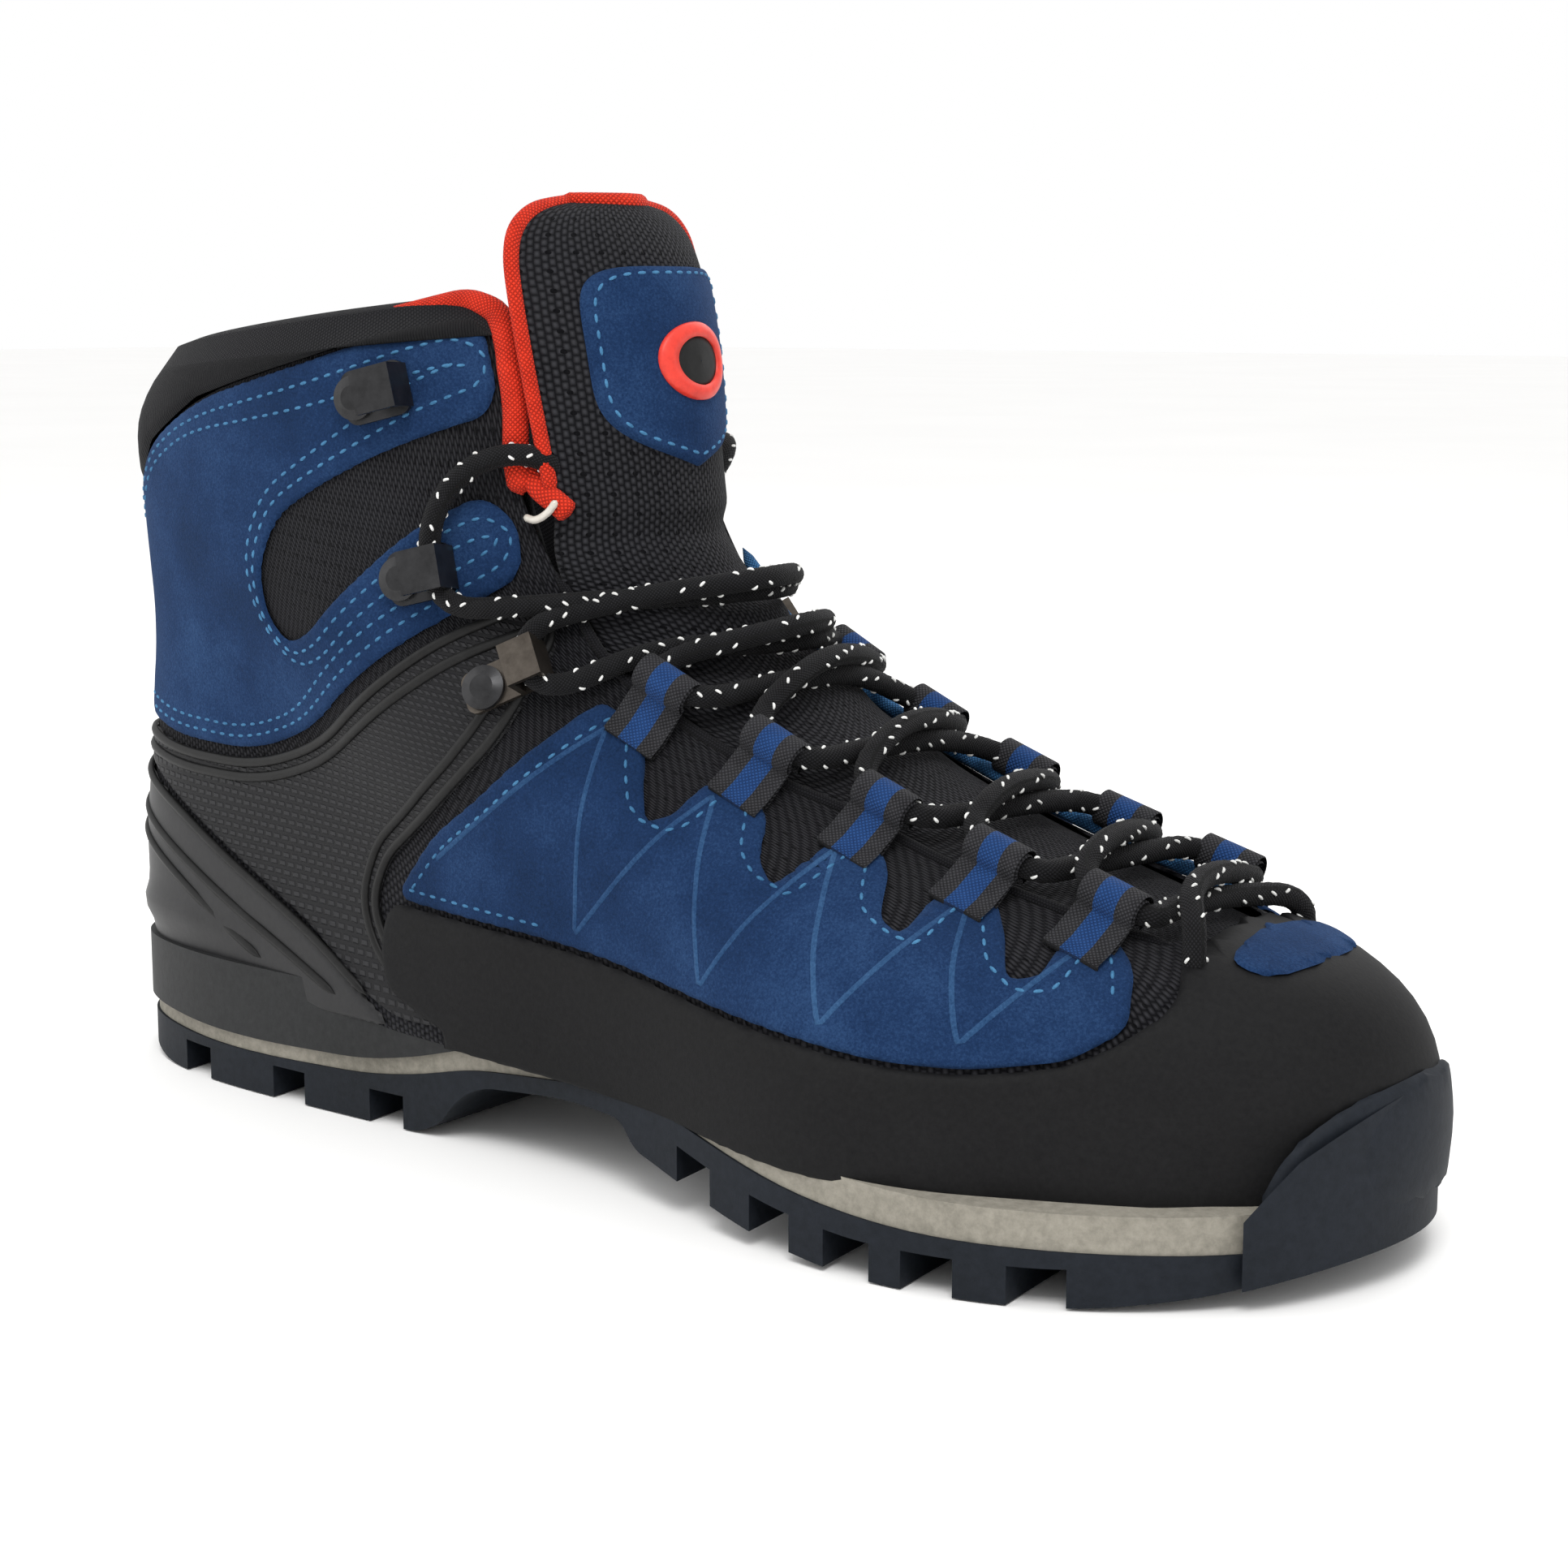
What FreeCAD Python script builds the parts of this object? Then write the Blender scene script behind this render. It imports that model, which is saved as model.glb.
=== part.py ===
import FreeCAD, Part
import Sketcher
import math
import os

# A right-foot mountaineering boot, laced, standing on its tread.
# +X runs to the toe, +Y to the medial side, +Z up. Lengths are in millimetres.
# Side-view points are given on the nominal boot and carried to the size in the
# sheet by along(), across() and above().

Vector = FreeCAD.Vector

NOMINAL_LENGTH = 310.0
NOMINAL_WIDTH = 112.0
NOMINAL_HEIGHT = 172.0
NOMINAL_STACK = 28.5
REACH = 130.0
LATERAL = -1
MEDIAL = 1
SIDES = ((LATERAL, "lateral"), (MEDIAL, "medial"))

SIZES = (
    ("boot_length", NOMINAL_LENGTH),
    ("boot_width", NOMINAL_WIDTH),
    ("collar_height", NOMINAL_HEIGHT),
    ("heel_stack", NOMINAL_STACK),
    ("tread_depth", 7.0),
    ("tread_groove", 10.0),
    ("rand_thickness", 2.4),
    ("panel_thickness", 1.4),
    ("shell_thickness", 1.6),
    ("lining_thickness", 3.0),
    ("collar_padding", 8.0),
    ("board_thickness", 2.0),
    ("footbed_thickness", 4.5),
    ("shank_length", 92.0),
    ("shank_width", 22.0),
    ("shank_thickness", 1.5),
    ("tongue_thickness", 8.0),
    ("tongue_half_width", 25.0),
    ("tongue_rise", 23.0),
    ("badge_diameter", 14.0),
    ("badge_thickness", 1.6),
    ("binding_width", 5.0),
    ("binding_thickness", 1.4),
    ("loop_width", 12.0),
    ("loop_length", 9.0),
    ("loop_thickness", 1.3),
    ("rivet_head_diameter", 9.0),
    ("rivet_shank_diameter", 3.6),
    ("hook_width", 11.0),
    ("hook_length", 15.0),
    ("hook_height", 7.5),
    ("plate_thickness", 1.1),
    ("lace_diameter", 4.5),
    ("running_gap", 0.4),
)

doc = FreeCAD.newDocument("mountaineering_boot")
sheet = doc.addObject("Spreadsheet::Sheet", "sizes")
for row, (alias, value) in enumerate(SIZES, start=1):
    sheet.set("A%d" % row, alias)
    sheet.set("B%d" % row, str(value))
    sheet.setAlias("B%d" % row, alias)
doc.recompute()


def size(alias):
    return float(sheet.get(alias))


STACK = size("heel_stack")
GAP = size("running_gap")
PANEL = size("panel_thickness")
SHELL = size("shell_thickness")
LINING = SHELL + size("lining_thickness")
MID_X = 3.0
MID_Y = 0.0


def along(x):
    """Nominal station along the boot, carried to the sheet's length."""
    return (x - MID_X) * size("boot_length") / NOMINAL_LENGTH


def across(y):
    """Nominal station across the boot, carried to the sheet's width."""
    return (y - MID_Y) * size("boot_width") / NOMINAL_WIDTH


def above(z):
    """Nominal height: the sole follows heel_stack, the upper follows collar_height."""
    if z <= NOMINAL_STACK:
        return z * STACK / NOMINAL_STACK
    rise = (size("collar_height") - STACK) / (NOMINAL_HEIGHT - NOMINAL_STACK)
    return STACK + (z - NOMINAL_STACK) * rise


# ---------------------------------------------------------------- outlines

def rounded_wire(points, closed=True, share=0.45):
    """Straight runs joined by tangent arcs, in the plane that the points lie in."""
    count = len(points)
    edges = []
    last_end = None
    first_start = None
    stations = range(count) if closed else range(1, count - 1)
    if not closed:
        last_end = points[0]
    for i in stations:
        before, corner, after = points[i - 1], points[i], points[(i + 1) % count]
        into = corner - before
        out_of = after - corner
        turn = into.getAngle(out_of)
        if turn < 0.01:
            continue
        trim = share * min(into.Length, out_of.Length)
        start = corner - into.normalize() * trim
        end = corner + out_of.normalize() * trim
        radius = trim / math.tan(turn / 2)
        inward = (start + end) * 0.5 - corner
        middle = corner + inward.normalize() * (radius / math.cos(turn / 2) - radius)
        if last_end is not None and (start - last_end).Length > 1e-6:
            edges.append(Part.LineSegment(last_end, start).toShape())
        if first_start is None:
            first_start = start
        edges.append(Part.Arc(start, middle, end).toShape())
        last_end = end
    finish = first_start if closed else points[-1]
    edges.append(Part.LineSegment(last_end, finish).toShape())
    return Part.Wire(edges)


def side_points(outline):
    return [Vector(along(x), 0, above(z)) for x, z in outline]


def side_prism(outline, side=0, rounded=True):
    """A side-view outline extruded across the boot; side 0 takes both halves."""
    points = side_points(outline)
    wire = rounded_wire(points) if rounded else Part.makePolygon(points + points[:1])
    face = Part.Face(wire)
    if side:
        return face.extrude(Vector(0, side * REACH, 0))
    face.translate(Vector(0, -REACH, 0))
    return face.extrude(Vector(0, 2 * REACH, 0))


def smooth_closed(points):
    """A closed spline through the points, evenly spaced in its parameter."""
    curve = Part.BSplineCurve()
    even = [float(i) for i in range(len(points) + 1)]
    curve.interpolate(Points=points, PeriodicFlag=True, Parameters=even)
    return Part.Wire([curve.toShape()])


# ---------------------------------------------------------------- upper form

# Rings of the upper, from the feather line to the collar. Each lies in a plane
# from its back point to its front point: (back x, back z, front x, front z,
# half widths at the width stations, swing of the toe towards the medial side).
WIDTH_STATIONS = (0.0, 0.25, 0.5, 0.72, 1.0)
RINGS = (
    (-148, 25, 155, 13, (50, 41, 40, 61, 60), 8),
    (-150, 37, 156, 27, (50, 41, 41, 60, 57), 8),
    (-151, 50, 153, 41, (49, 40, 42, 57, 53), 7),
    (-150, 62, 143, 51, (48, 39, 42, 52, 46), 6),
    (-148, 74, 124, 58, (47, 38, 42, 47, 41), 5),
    (-146, 86, 102, 64, (47, 38, 42, 44, 39), 4),
    (-144, 96, 80, 71, (47, 39, 42, 42, 38), 3),
    (-143, 106, 58, 80, (47, 40, 42, 41, 37), 2),
    (-143, 116, 38, 91, (47, 41, 42, 40, 36), 1),
    (-143, 126, 20, 104, (47, 42, 41, 39, 36), 1),
    (-143, 137, 8, 120, (47, 42, 41, 39, 36), 1),
    (-141, 147, 1, 140, (46, 42, 41, 39, 36), 1),
    (-134, 156, -8, 168, (43, 41, 40, 38, 34), 1),
    (-127, 161, -15, 175, (36, 36, 35, 32, 27), 1),
)
RING_POINTS = 22
LEAST_SLOPE = 0.25
LATERAL_BOW = 1.0
MOUTH_RISE = 12.0


def eased(stations, values, at):
    for i in range(len(stations) - 1):
        if at <= stations[i + 1]:
            part = (at - stations[i]) / (stations[i + 1] - stations[i])
            part = part * part * (3 - 2 * part)
            return values[i] + (values[i + 1] - values[i]) * part
    return values[-1]


def ring_points(ring):
    back_x, back_z, front_x, front_z, half_widths, shift = ring
    points = []
    for j in range(RING_POINTS):
        angle = 2 * math.pi * j / RING_POINTS
        share = 0.5 - 0.5 * math.cos(angle)
        roundness = 0.68 + 0.12 * share
        bulge = math.copysign(abs(math.sin(angle)) ** roundness, math.sin(angle))
        swing = shift * share ** 4 - LATERAL_BOW * math.sin(math.pi * share) ** 2
        y = eased(WIDTH_STATIONS, half_widths, share) * bulge + swing
        x = back_x + (front_x - back_x) * share
        z = above(back_z) + (above(front_z) - above(back_z)) * share
        points.append(Vector(along(x), across(y), z))
    return points


FORM = [ring_points(ring) for ring in RINGS]


def inset_ring(level, depth, upright):
    """The ring's own plane cut through the form's surface moved in by depth.

    Where the form is upright the ring itself is moved in, without its slope.
    """
    lower = FORM[max(level - 1, 0)]
    upper = FORM[min(level + 1, len(FORM) - 1)]
    ring = FORM[level]
    spine = ring[RING_POINTS // 2] - ring[0]
    plane_normal = spine.cross(Vector(0, 1, 0)).normalize()
    moved = []
    for j, point in enumerate(ring):
        round_the_ring = ring[(j + 1) % RING_POINTS] - ring[j - 1]
        up_the_form = upper[j] - lower[j]
        normal = up_the_form.cross(round_the_ring).normalize()
        in_plane = normal - plane_normal * normal.dot(plane_normal)
        slope = 1.0 if upright else max(in_plane.Length, LEAST_SLOPE)
        moved.append(point - in_plane.normalize() * (depth / slope))
    return moved


FORMS = {}
ANKLE_RING = 6


def form(depth):
    """The solid of the upper's form, moved in by depth (out if negative)."""
    if depth not in FORMS:
        wires = [smooth_closed(inset_ring(level, depth, False)) for level in range(len(FORM))]
        FORMS[depth] = Part.makeLoft(wires, True, False)
    return FORMS[depth].copy()


def ankle_well(depth):
    """The space inside the padded shaft, open through the collar."""
    levels = range(ANKLE_RING, len(FORM))
    wires = [smooth_closed(inset_ring(level, depth, True)) for level in levels]
    mouth = wires[-1].copy()
    mouth.translate(Vector(0, 0, MOUTH_RISE))
    return Part.makeLoft(wires + [mouth], True, False)


PANEL_SKIN = form(-PANEL).cut(form(0))


def on_skin(region):
    """A panel of the outer skin, as thick as the leather, inside a region."""
    return PANEL_SKIN.common(region)


SKIN_SURFACE = max(form(0).Faces, key=lambda face: face.Area).Surface


def skin_point(x, z, side):
    """Where a line across the boot at nominal x, z leaves the upper's form."""
    start = Vector(along(x), 0, above(z))
    line = Part.Line(start, start + Vector(0, side, 0))
    crossings, _ = line.intersectCS(SKIN_SURFACE)
    points = [Vector(point.X, point.Y, point.Z) for point in crossings]
    return max(points, key=lambda p: side * p.y)


def skin_frame(x, z, side, toward):
    """Placement on the upper: local Z outward, local X along the side-view direction."""
    step = 1.5
    here = skin_point(x, z, side)
    in_x = skin_point(x + step, z, side) - skin_point(x - step, z, side)
    in_z = skin_point(x, z + step, side) - skin_point(x, z - step, side)
    outward = in_x.cross(in_z).normalize()
    if outward.y * side < 0:
        outward = outward * -1
    heading = in_x * toward[0] + in_z * toward[1]
    heading = (heading - outward * heading.dot(outward)).normalize()
    rotation = FreeCAD.Rotation(heading, outward.cross(heading), outward, "XZY")
    return FreeCAD.Placement(here, rotation)


# ---------------------------------------------------------------- parts

NODES = []


def add(label, shape):
    """A sub-part whose shape is worked out here from the sheet's sizes."""
    feature = doc.addObject("Part::Feature", label)
    feature.Label = label
    feature.Shape = shape
    feature.Placement = FreeCAD.Placement()
    NODES.append(feature)
    return feature


def joined(shapes):
    return Part.makeCompound(shapes)


def drilled(label, tools):
    """Takes bores or shanks out of a sub-part's shape."""
    item = doc.getObject(label)
    item.Shape = item.Shape.cut(tools)


def between(outer_depth, inner_depth, region):
    """The layer of the upper between two depths, inside a region."""
    return form(outer_depth).common(region).cut(form(inner_depth))


# ---------------------------------------------------------------- sole

SOLE_OUTLINE = (
    (-152, 0), (-148, 17), (-138, 28), (-118, 35), (-90, 36.5), (-50, 36), (-15, 37),
    (15, 42), (45, 51), (75, 56), (103, 55), (128, 47), (146, 33), (155, 14),
    (155, -4), (147, -24), (132, -40), (110, -52), (85, -57), (55, -55), (25, -47),
    (-5, -41), (-40, -38.5), (-90, -37.5), (-120, -34), (-140, -26), (-149, -14),
)
FEATHER = ((-160, 28.5), (-60, 28.5), (0, 28.5), (24, 27.5), (46, 23), (68, 18.8),
           (90, 17), (165, 16.5))
STRIPE_TOP = ((-160, 15), (-100, 12), (-60, 13.5), (-44, 16.5), (-30, 20.5), (0, 24.5),
              (24, 27.5), (46, 23), (68, 18.8), (90, 17), (165, 16.5))
STRIPE_BOTTOM = ((-160, 11), (-100, 8.5), (-60, 10), (-44, 12.5), (-30, 16), (0, 19),
                 (22, 21), (46, 16.5), (68, 12.5), (90, 10.5), (165, 9.5))
TREAD = ((-160, 6), (-140, 2), (-130, 0), (-41, 0), (-30, 12.5), (0, 15.5), (16, 15),
         (20, 10), (44, 5), (62, 2), (80, 0), (120, 0), (138, 2.5), (150, 5.5), (165, 8.8))
BOARD_EDGE = 150


def sole_column(margin=0.0):
    """The sole's plan outline, grown by a margin, as a tall column."""
    plan = [Vector(along(x), across(y), -REACH / 2) for x, y in SOLE_OUTLINE]
    grown = []
    for i, point in enumerate(plan):
        run = plan[(i + 1) % len(plan)] - plan[i - 1]
        outward = Vector(-run.y, run.x, 0).normalize()
        grown.append(point + outward * margin)
    return Part.Face(smooth_closed(grown)).extrude(Vector(0, 0, 2 * REACH))


def sheet_between(lower, upper, lift_lower=0.0, lift_upper=0.0):
    """The region between two side-view lines, through the whole width."""
    low = [Vector(along(x), -REACH, above(z) + lift_lower) for x, z in lower]
    high = [Vector(along(x), -REACH, above(z) + lift_upper) for x, z in reversed(upper)]
    bottom = rounded_wire(low, closed=False)
    top = rounded_wire(high, closed=False)
    ends = [Part.LineSegment(low[-1], high[0]).toShape(),
            Part.LineSegment(high[-1], low[0]).toShape()]
    wire = Part.Wire(bottom.Edges + ends[:1] + top.Edges + ends[1:])
    return Part.Face(wire).extrude(Vector(0, 2 * REACH, 0))


def slab(x_from, x_to):
    """All that lies between two nominal stations along the boot."""
    start = along(x_from)
    return Part.makeBox(along(x_to) - start, 4 * REACH, 4 * REACH,
                        Vector(start, -2 * REACH, -2 * REACH))


ABOVE_FEATHER = sheet_between(FEATHER, ((-160, 240), (165, 240)))
SIDE_GROOVES = (-118, -86, -56, 36, 57, 75, 91.5, 111)
CENTRE_GROOVES = (-102, -71, 46, 66, 83, 101, 124)
CENTRE_HALF = 15
GROOVE_SLANT = 5
UNDER_TREAD = -9


def groove_bar(x, y_from, y_to, slant, width):
    """A slanted bar across the sole, cut later to the depth of the tread."""
    half = width / 2
    corners = [Vector(along(x) - half, across(y_from), UNDER_TREAD),
               Vector(along(x) + half, across(y_from), UNDER_TREAD),
               Vector(along(x + slant) + half, across(y_to), UNDER_TREAD),
               Vector(along(x + slant) - half, across(y_to), UNDER_TREAD)]
    return Part.Face(Part.makePolygon(corners + corners[:1])).extrude(Vector(0, 0, REACH / 2))


def tread_grooves():
    """Side grooves, staggered centre grooves and the two long ditches between them."""
    width = size("tread_groove")
    bars = []
    for x in SIDE_GROOVES:
        bars.append(groove_bar(x, -CENTRE_HALF, -75, GROOVE_SLANT, width))
        bars.append(groove_bar(x + 4, CENTRE_HALF, 75, GROOVE_SLANT, width))
    for x in CENTRE_GROOVES:
        bars.append(groove_bar(x, -CENTRE_HALF, CENTRE_HALF, -GROOVE_SLANT, width * 0.5))
    for side in (LATERAL, MEDIAL):
        middle = across(side * CENTRE_HALF)
        for x_from, x_to in ((-160, -41), (20, 160)):
            corner = Vector(along(x_from), middle - width * 0.2, UNDER_TREAD)
            bars.append(Part.makeBox(along(x_to) - along(x_from), width * 0.4, REACH / 2, corner))
    floor = ((-160, UNDER_TREAD), (165, UNDER_TREAD))
    ceiling = sheet_between(floor, TREAD, 0.0, size("tread_depth"))
    return bars[0].fuse(bars[1:]).common(ceiling)


def outsole_shape():
    body = sole_column().common(sheet_between(TREAD, STRIPE_BOTTOM))
    body = body.common(slab(-160, BOARD_EDGE - 6))
    return body.cut(tread_grooves())


def toe_bumper_shape():
    outer = sole_column(2.5).common(sheet_between(TREAD, ((-160, 60), (165, 60))))
    region = side_prism([(BOARD_EDGE - 6, -5), (BOARD_EDGE - 6, 16.4), (150, 26), (162, 38),
                         (185, 38), (185, -5)], rounded=False)
    block = outer.common(region)
    return block.cut(form(-size("rand_thickness")))


def midsole_shape():
    stripe = sole_column(-0.6).common(sheet_between(STRIPE_BOTTOM, STRIPE_TOP))
    return stripe.common(slab(-160, BOARD_EDGE - 6)).cut(ABOVE_FEATHER)


def heel_stabiliser_shape():
    over_the_stripe = sheet_between(STRIPE_TOP, ((-160, 60), (165, 60)))
    wedge = sole_column(0.8).common(slab(-160, 18)).common(over_the_stripe)
    return wedge.cut(ABOVE_FEATHER).cut(shank_pocket())


SHANK_DEPTH = 0.4


def shank_pocket(gap=0.0):
    length = size("shank_length") + 2 * gap
    width = size("shank_width") + 2 * gap
    height = size("shank_thickness") + gap
    corner = Vector(along(-92) - gap, -width / 2, STACK - SHANK_DEPTH - height)
    return Part.makeBox(length, width, height, corner)


add("outsole", outsole_shape())
add("toe_bumper", toe_bumper_shape())
add("midsole", midsole_shape())
add("heel_stabiliser", heel_stabiliser_shape())


def shank():
    """Spring-steel shank: a padded plan outline with rounded corners."""
    body = doc.addObject("PartDesign::Body", "shank")
    body.Label = "shank"
    plane = [f for f in body.Origin.OriginFeatures if f.Role == "XY_Plane"][0]
    sketch = body.newObject("Sketcher::SketchObject", "shank_outline")
    sketch.AttachmentSupport = [(plane, "")]
    sketch.MapMode = "FlatFace"
    half_length = size("shank_length") / 2
    half_width = size("shank_width") / 2
    corners = [Vector(-half_length, -half_width, 0), Vector(half_length, -half_width, 0),
               Vector(half_length, half_width, 0), Vector(-half_length, half_width, 0)]
    for i in range(4):
        sketch.addGeometry(Part.LineSegment(corners[i], corners[(i + 1) % 4]), False)
    for i in range(4):
        sketch.addConstraint(Sketcher.Constraint("Coincident", i, 2, (i + 1) % 4, 1))
    for i in (0, 2):
        sketch.addConstraint(Sketcher.Constraint("Horizontal", i))
        sketch.addConstraint(Sketcher.Constraint("Vertical", i + 1))
    sketch.addConstraint(Sketcher.Constraint("Symmetric", 0, 1, 1, 2, -1, 1))
    length_rule = sketch.addConstraint(Sketcher.Constraint("DistanceX", 0, 1, 0, 2, 2 * half_length))
    width_rule = sketch.addConstraint(Sketcher.Constraint("DistanceY", 1, 1, 1, 2, 2 * half_width))
    sketch.setExpression("Constraints[%d]" % length_rule, "sizes.shank_length")
    sketch.setExpression("Constraints[%d]" % width_rule, "sizes.shank_width")
    pad = body.newObject("PartDesign::Pad", "shank_plate")
    pad.Profile = sketch
    pad.setExpression("Length", "sizes.shank_thickness")
    body.Tip = pad
    body.Placement.Base = Vector(along(-92) + half_length, 0,
                                STACK - SHANK_DEPTH - size("shank_thickness"))
    NODES.append(body)
    return body


shank()

# ---------------------------------------------------------------- upper layers

FACING = ((124, 70), (119, 58), (101, 62), (80, 67.5), (68, 71.5), (55, 76.5), (41, 81),
          (28, 86.5), (17, 92), (8, 97), (-2, 104), (-13, 119), (-19, 129), (-22, 140),
          (-22.5, 151), (-25, 163), (-31, 185))
OVER_THE_FOOT = ((60, 230), (175, 120))
THROAT = FACING + OVER_THE_FOOT
SEAM = ((-175, 123), (-147, 124), (-139, 127), (-127, 141), (-105, 151), (-69, 159.5),
        (-45, 166), (-33, 168), (-28, 164), (-24, 150), (-10, 150))
COLLAR = SEAM + ((-10, 230), (-175, 230))


def widened(outline, dx, dz):
    return tuple((x + dx, z + dz) for x, z in outline)


PADDING = SHELL + size("collar_padding")
PADDING_FOOT = ((-175, 100), (-60, 100), (-28, 112), (-10, 118), (-10, 230), (-175, 230))

throat = side_prism(THROAT, rounded=False)
collar_zone = side_prism(COLLAR, rounded=False)
ankle_zone = side_prism(PADDING_FOOT, rounded=False)
add("upper_shell", between(0, SHELL, ABOVE_FEATHER).cut([throat, collar_zone]))
add("lining", between(SHELL, LINING, ABOVE_FEATHER).cut([throat, ankle_zone]))
well = [ankle_well(PADDING), throat]
add("ankle_padding", form(SHELL).common(ankle_zone).cut(well + [collar_zone]))
add("collar_pad", form(0).common(collar_zone).cut(well))

board_layer = sheet_between(FEATHER, FEATHER, 0.0, size("board_thickness"))
add("insole_board", form(LINING).common(board_layer))
FOOTBED_SIDE_GAP = 1.6
FOOTBED_TOE = 138
footbed_low = size("board_thickness") + 0.1
footbed_layer = sheet_between(FEATHER, FEATHER, footbed_low,
                              footbed_low + size("footbed_thickness"))
footbed_shape = form(LINING + FOOTBED_SIDE_GAP).common(footbed_layer)
add("footbed", footbed_shape.common(slab(-160, FOOTBED_TOE)))

# ---------------------------------------------------------------- outer panels

SUEDE_ANKLE = (
    (-175, 80), (-140, 79), (-122, 76), (-95, 75.5), (-74, 82.5), (-54, 96), (-33, 108.5),
    (-18.5, 117), (-21, 128), (-28, 133), (-42, 126), (-58, 113), (-68.5, 103.5),
    (-77, 100.5), (-83, 106), (-84, 116), (-78, 127), (-65, 134), (-46, 142.5), (-28, 148.5),
    (-26.5, 154), (-30, 165.5), (-36, 167), (-46, 165), (-69, 158.5), (-105, 150),
    (-127, 140), (-139, 126), (-147, 123), (-175, 122),
)
TEXTURE = (
    (-175, 77), (-140, 76.5), (-122, 73.5), (-95, 73), (-72, 80), (-52, 93.5), (-32, 106),
    (-18, 112.5), (-12, 109), (-9, 104), (-14, 87), (-31, 72), (-50, 57.5), (-54, 48),
    (-50, 40), (-34, 32), (-22, 26), (-56, 26), (-74, 39.5), (-105, 53), (-141, 70),
    (-175, 72),
)
COUNTER = ((-175, 70), (-141, 68), (-105, 51), (-74, 37.5), (-58, 26), (-175, 26))
VAMP = (
    (-48, 50), (-36, 64), (-21, 74), (-3, 89), (3, 94), (9, 91), (14, 87), (17, 79),
    (20, 73), (25, 74.5), (28, 80), (35, 80), (42, 75), (45, 68), (50, 64), (53, 68),
    (56, 72), (62, 71.5), (68, 67), (72, 60), (77, 58), (78, 63.5), (82, 65.5), (89, 62.5),
    (94, 58), (98, 52.5), (103, 53), (103, 58.5), (111, 58), (117, 54), (120, 46),
    (112, 40.5), (96, 38), (80, 38.5), (64, 40.5), (44, 42.5), (4, 47.5),
)
RAND = (
    (-49, 49), (4, 46.5), (44, 41.5), (64, 39.5), (80, 37.5), (96, 37), (112, 39.5),
    (121, 44.5), (126, 51), (121, 58), (124, 64), (190, 64), (190, 3), (64, 3), (22, 22),
    (-22, 26), (-45, 36),
)
TOE_PATCH = ((127, 62), (127.5, 57), (145, 50), (150, 62))
RAND_OUT = -size("rand_thickness")

LACE_HOLE = (124, 55)
ACHILLES = ((-175, 84), (-136, 84), (-136, 122), (-175, 122))
RIB_HEIGHTS = (88, 98, 108, 118)
RIB_HALF = 3.8


def lace_holes(side):
    """An upright bore through the rand, the shell and the lining."""
    middle = skin_point(LACE_HOLE[0], LACE_HOLE[1], side)
    return Part.makeCylinder(size("lace_diameter") / 2 + GAP, 8 * LINING,
                             middle - Vector(0, 0, 4 * LINING))


rand_zone = side_prism(RAND)
holes = [lace_holes(side) for side, name in SIDES]
rand = between(RAND_OUT, 0, rand_zone).common(ABOVE_FEATHER)
add("rubber_rand", rand.cut(holes))
drilled("upper_shell", holes)
drilled("lining", holes)

COLLAR_FRONT = ((-37, 172), (-28, 168.6), (-25, 163), (-22.5, 151), (-22, 140), (-20, 132))
BINDING_BACK = tuple((x - size("binding_width"), z) for x, z in COLLAR_FRONT[::-1])
front_strip = side_prism(COLLAR_FRONT + BINDING_BACK, rounded=False)
achilles_zone = side_prism(ACHILLES, rounded=False)
for side, name in SIDES:
    suede = on_skin(side_prism(SUEDE_ANKLE, side)).cut([achilles_zone, front_strip])
    add("ankle_suede_" + name, suede)
    texture = on_skin(side_prism(TEXTURE, side)).cut(rand_zone)
    add("ankle_panel_" + name, texture.common(ABOVE_FEATHER))
    add("vamp_suede_" + name, on_skin(side_prism(VAMP, side)))

add("heel_counter", on_skin(side_prism(COUNTER)).common(ABOVE_FEATHER))
ribs = []
for z in RIB_HEIGHTS:
    rib = ((-175, z - RIB_HALF), (-137, z - RIB_HALF), (-137, z + RIB_HALF), (-175, z + RIB_HALF))
    ribs.append(on_skin(side_prism(rib, rounded=False)))
add("achilles_ribs", joined(ribs))

# ---------------------------------------------------------------- tongue

HINGE = (9, 119.6)
TONGUE_LOW_ZONE = tuple((x + 0.5, z + 0.5) for x, z in FACING[:11]) + (
    (-13, HINGE[1]), (60, HINGE[1]), (60, 230), (175, 120))
TONGUE_SECTIONS = (
    # height, front x, back x at the sides, half width as a share
    (HINGE[1] + 0.6, 7.5, -9, 0.93),
    (140, 4.5, -11, 1.0),
    (160, 3, -12, 1.04),
    (178, -1, -14, 1.0),
    (189, -5, -14.8, 0.86),
    (195, -8, -14, 0.55),
)
TONGUE_TOP_NOMINAL = 195.0


def tongue_height(z):
    """Heights above the collar follow the tongue's own rise."""
    if z <= NOMINAL_HEIGHT:
        return above(z)
    share = (z - NOMINAL_HEIGHT) / (TONGUE_TOP_NOMINAL - NOMINAL_HEIGHT)
    return above(NOMINAL_HEIGHT) + share * size("tongue_rise")


def tongue_section(z, front, side_x, share, grown):
    """A crescent in plan: bulging forward, hollow behind."""
    half = size("tongue_half_width") * share
    height = tongue_height(z)
    depth = size("tongue_thickness") * (0.55 + 0.45 * share)
    nose = Vector(along(front) + grown, 0, height)
    hollow = Vector(along(front) - depth, 0, height)
    left_out = Vector(along(side_x), -half, height)
    right_out = Vector(along(side_x), half, height)
    left_in = Vector(along(side_x), -half + 5, height)
    right_in = Vector(along(side_x), half - 5, height)
    return Part.Wire([
        Part.Arc(left_out, nose, right_out).toShape(),
        Part.LineSegment(right_out, right_in).toShape(),
        Part.Arc(right_in, hollow, left_in).toShape(),
        Part.LineSegment(left_in, left_out).toShape(),
    ])


def tongue_form(grown=0.0):
    wires = [tongue_section(*section, grown) for section in TONGUE_SECTIONS]
    return Part.makeLoft(wires, True, False)


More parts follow.
